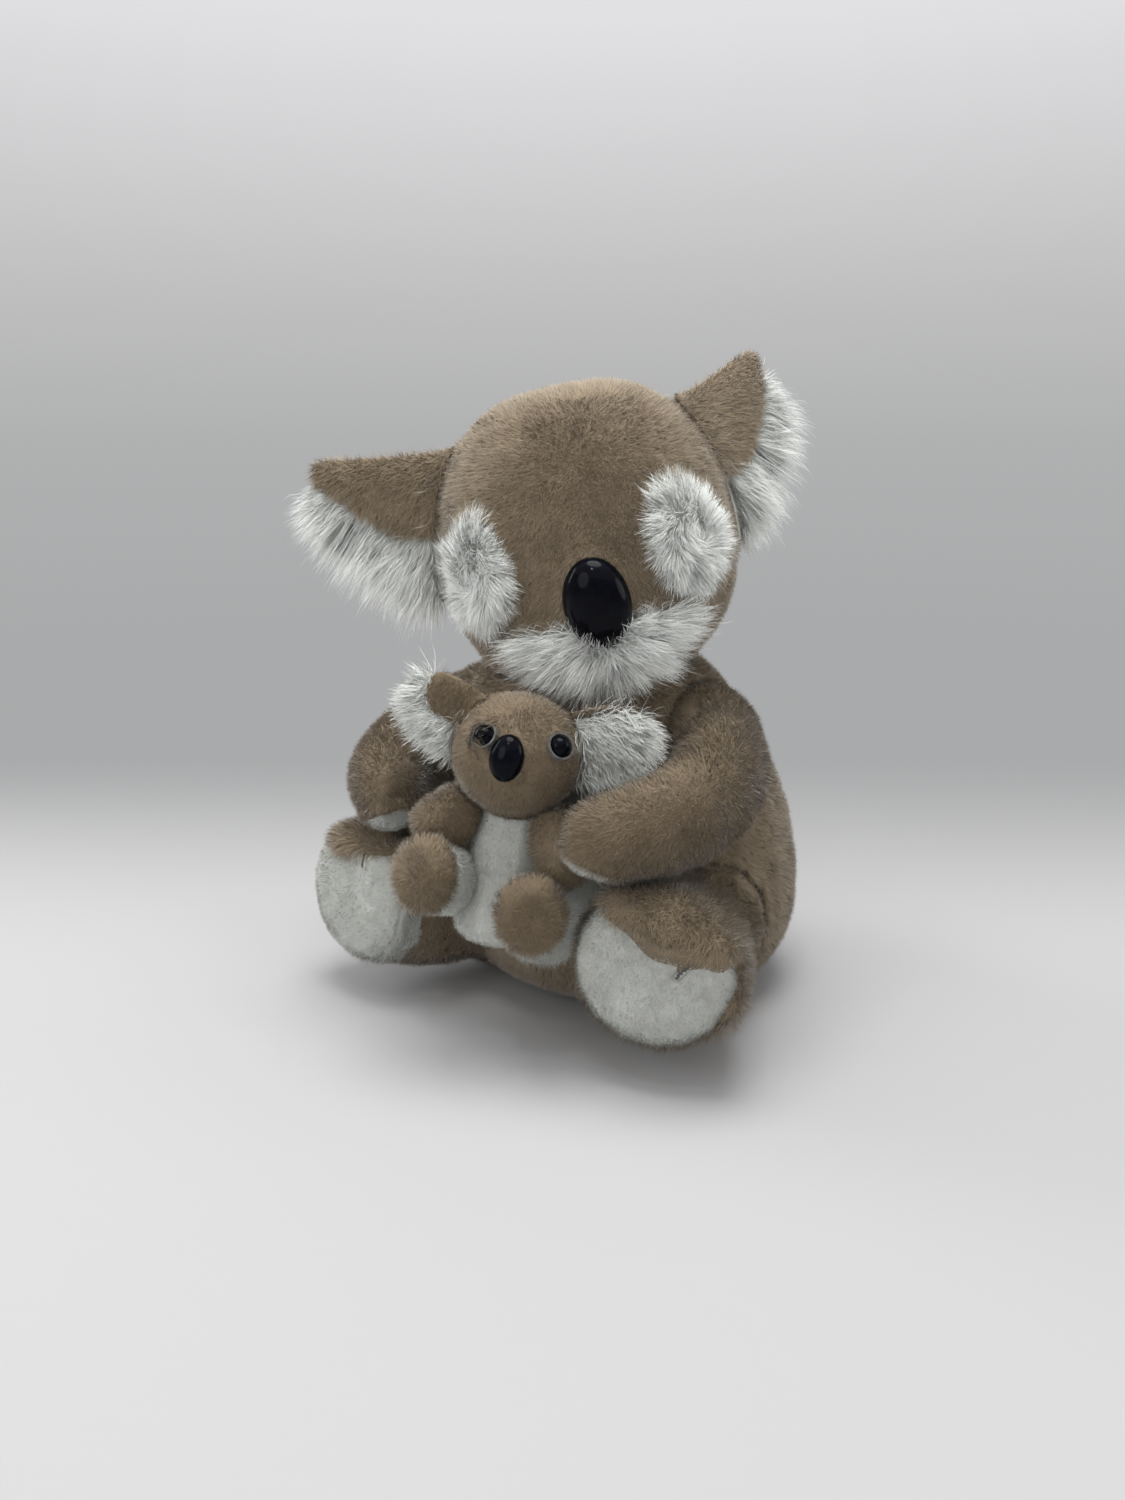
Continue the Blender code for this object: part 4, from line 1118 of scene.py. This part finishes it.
# Plastic noses and eyes: three rows of each CAD piece's place, and its sizes
PLASTICS = {
    "nose": (
        (0.886475, -0.456182, -0.077845, 0.045704),
        (0.418679, 0.862239, -0.285046, -0.077776),
        (0.197154, 0.220094, 0.955347, 0.226562),
        (0.033, 0.026, 0.0465),
    ),
    "eye_left": (
        (0.262888, -0.950564, -0.165284, 0.073406),
        (0.952662, 0.282853, -0.111485, -0.040879),
        (0.152725, -0.128151, 0.979925, 0.257883),
        (0.0096, 0.0096, 0.0096),
    ),
    "eye_right": (
        (0.963019, 0.212779, -0.165284, -0.015200),
        (-0.232607, 0.966160, -0.111485, -0.092850),
        (0.135969, 0.145809, 0.979925, 0.237025),
        (0.0096, 0.0096, 0.0096),
    ),
    "baby_nose": (
        (0.932388, -0.352090, 0.081767, 0.030124),
        (0.325873, 0.916680, 0.231313, -0.129438),
        (-0.156397, -0.189027, 0.969437, 0.159391),
        (0.0165, 0.013, 0.0225),
    ),
    "baby_eye_left": (
        (0.452938, -0.811770, -0.368614, 0.045903),
        (0.884540, 0.357453, 0.299693, -0.109255),
        (-0.111520, -0.461796, 0.879947, 0.163114),
        (0.011, 0.011, 0.011),
    ),
    "baby_eye_right": (
        (0.988060, -0.050076, 0.145706, 0.018181),
        (-0.047706, 0.799794, 0.598376, -0.130322),
        (-0.146499, -0.598182, 0.787855, 0.168321),
        (0.011, 0.011, 0.011),
    ),
}
# Washers and rims keep their CAD shapes
CAD_LOOKS = (("washer", CLEAR_PLASTIC), ("rim", FELT))


def object_from(bm, name, finish):
    """A smooth object with the shape of a bmesh, which is used up."""
    mesh = bpy.data.meshes.new(name)
    bm.to_mesh(mesh)
    bm.free()
    mesh.shade_smooth()
    mesh.materials.append(finish)
    return new_object(name, mesh)


def make_plastics():
    for node, (*rows, sizes) in PLASTICS.items():
        place = Matrix((*rows, (0.0, 0.0, 0.0, 1.0)))
        bm = bmesh.new()
        bmesh.ops.create_uvsphere(bm, u_segments=48, v_segments=24, radius=0.5)
        bmesh.ops.transform(bm, matrix=place @ Matrix.Diagonal((*sizes, 1.0)), verts=bm.verts)
        item = object_from(bm, f"{node}_shell", BLACK_PLASTIC)
        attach(item, BODY_OF[node])
        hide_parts(node)


def finish_plastic():
    for node, item in frame["nodes"].items():
        for word, finish in CAD_LOOKS:
            if word in node:
                item.data.materials.clear()
                item.data.materials.append(finish)
                item.data.shade_smooth()


# Camera and stage
CAMERA_TARGET = Vector((-0.029, 0.0, 0.130))
CAMERA_TURN = math.radians(35)
CAMERA_RISE = math.radians(13.4)
CAMERA_DISTANCE = 0.724
FLOOR_RADIUS = 1.5
BOWL_RADIUS = 2.6
BOWL_HEIGHT = 1.6
BOWL_STEPS = 12
ROUND_STEPS = 96
FLOOR_COLOUR = (0.505, 0.505, 0.512)
# The wall's painted light and shade: a grey glow, darker low and paler as it rises
WALL_LIGHT_AND_SHADE = (
    (0.0, (0.398, 0.402, 0.406)),
    (0.2, (0.435, 0.438, 0.442)),
    (0.4, (0.525, 0.525, 0.532)),
    (0.8, (0.755, 0.750, 0.765)),
)
# Lights: name, place, the place they face, size and power
LIGHTS = (
    ("key", (0.10, -0.10, 1.55), (0.0, 0.0, 0.15), 1.0, 18.0),
    ("spark", (0.30, -0.75, 1.30), (0.0, 0.0, 0.20), 0.09, 1.2),
    ("front", (-0.15, -1.50, 0.80), (0.0, 0.0, 0.20), 1.0, 5.0),
    ("right", (1.25, 0.70, 0.60), (0.0, 0.0, 0.15), 0.8, 3.5),
    ("left", (-1.25, -0.30, 0.70), (0.0, 0.0, 0.15), 0.8, 7.0),
)


def make_camera():
    back = Vector((
        math.sin(CAMERA_TURN) * math.cos(CAMERA_RISE),
        -math.cos(CAMERA_TURN) * math.cos(CAMERA_RISE),
        math.sin(CAMERA_RISE),
    ))
    right = Vector((math.cos(CAMERA_TURN), math.sin(CAMERA_TURN), 0.0))
    up = back.cross(right)
    data = bpy.data.cameras.new("camera")
    data.sensor_fit = "VERTICAL"
    data.sensor_height = 36.0
    data.lens = 30.19
    item = new_object("camera", data)
    turn = Matrix((right, up, back)).transposed().to_4x4()
    item.matrix_world = Matrix.Translation(CAMERA_TARGET + back * CAMERA_DISTANCE) @ turn
    bpy.context.scene.camera = item


def add_light(name, place, target, size, power):
    data = bpy.data.lights.new(name, "AREA")
    data.shape = "DISK"
    data.size = size
    data.energy = power
    item = new_object(name, data)
    item.location = place
    item.rotation_euler = (Vector(target) - Vector(place)).to_track_quat("-Z", "Y").to_euler()


def seen_rays(tree):
    """1 for what the camera sees, also in gloss and through clear plastic, and 0 for other rays."""
    rays = tree.nodes.new("ShaderNodeLightPath")
    seen = rays.outputs["Is Camera Ray"]
    for kind in ("Is Glossy Ray", "Is Transmission Ray"):
        either = add_node(tree, "ShaderNodeMath", {0: seen, 1: rays.outputs[kind]}, operation="MAXIMUM")
        seen = either.outputs["Value"]
    return seen


def mix_into(tree, output, share, first, second):
    """Send a mix of two shaders to an output node."""
    mix = add_node(tree, "ShaderNodeMixShader", {"Fac": share, 1: first, 2: second})
    tree.links.new(mix.outputs["Shader"], tree.nodes[output].inputs["Surface"])


def backdrop_material():
    """Pale paper. The wall's grey, paler as it rises, is what the camera sees there: painted light and shade that
    glows for camera, gloss and clear-plastic rays, and that the floor fades into behind the toy.
    """
    finish, tree, shader = new_material("pale backdrop", roughness=0.8)
    shader.inputs["Base Color"].default_value = (*FLOOR_COLOUR, 1.0)
    place = tree.nodes.new("ShaderNodeTexCoord").outputs["Object"]
    height = add_node(tree, "ShaderNodeSeparateXYZ", {"Vector": place}).outputs["Z"]
    rise = add_node(tree, "ShaderNodeMapRange", {"Value": height, "From Max": BOWL_HEIGHT})
    wall = ramp(tree, rise.outputs["Result"], WALL_LIGHT_AND_SHADE)
    glow = add_node(tree, "ShaderNodeEmission", {"Color": wall})
    behind = (-math.sin(CAMERA_TURN), math.cos(CAMERA_TURN), 0.0)
    back = add_node(tree, "ShaderNodeVectorMath", {0: place, 1: behind}, operation="DOT_PRODUCT")
    span = {"Value": back.outputs["Value"], "From Min": -0.02, "From Max": 0.55}
    depth = add_node(tree, "ShaderNodeMapRange", span, interpolation_type="SMOOTHSTEP").outputs["Result"]
    share = add_node(tree, "ShaderNodeMath", {0: depth, 1: seen_rays(tree)}, operation="MULTIPLY")
    mix_into(tree, "Material Output", share.outputs[0], shader.outputs["BSDF"], glow.outputs["Emission"])
    return finish


def make_floor():
    """A floor that turns up into a wide bowl, so no edge shows behind the toy."""
    profile = [(FLOOR_RADIUS, 0.0)]
    for step in range(1, BOWL_STEPS + 1):
        turn = math.radians(90) * step / BOWL_STEPS
        profile.append((
            FLOOR_RADIUS + (BOWL_RADIUS - FLOOR_RADIUS) * math.sin(turn),
            BOWL_HEIGHT * (1 - math.cos(turn)),
        ))
    turns = [math.tau * k / ROUND_STEPS for k in range(ROUND_STEPS)]
    bm = bmesh.new()
    middle = bm.verts.new((0.0, 0.0, 0.0))
    rings = [
        [bm.verts.new((radius * math.cos(turn), radius * math.sin(turn), height)) for turn in turns]
        for radius, height in profile
    ]
    for k in range(ROUND_STEPS):
        after = (k + 1) % ROUND_STEPS
        bm.faces.new((middle, rings[0][k], rings[0][after]))
        for low, high in zip(rings, rings[1:]):
            bm.faces.new((low[k], high[k], high[after], low[after]))
    floor = object_from(bm, "floor", backdrop_material())


def make_world():
    """Even light. What is seen of the world is the grey of the wall's top."""
    world = bpy.data.worlds.new("studio")
    bpy.context.scene.world = world
    world.use_nodes = True
    tree = world.node_tree
    light = tree.nodes["Background"]
    light.inputs["Color"].default_value = (1.0, 0.99, 0.98, 1.0)
    light.inputs["Strength"].default_value = 0.55
    shown = add_node(tree, "ShaderNodeBackground", {"Color": (*WALL_LIGHT_AND_SHADE[-1][1], 1.0)})
    mix_into(tree, "World Output", seen_rays(tree), light.outputs[0], shown.outputs[0])


make_camera()
make_floor()
make_world()
for values in LIGHTS:
    add_light(*values)
bpy.context.scene.view_settings.view_transform = "Standard"
make_trunk()
make_limbs()
make_ears()
make_face()
make_muzzle()
make_baby()
make_plastics()
finish_plastic()
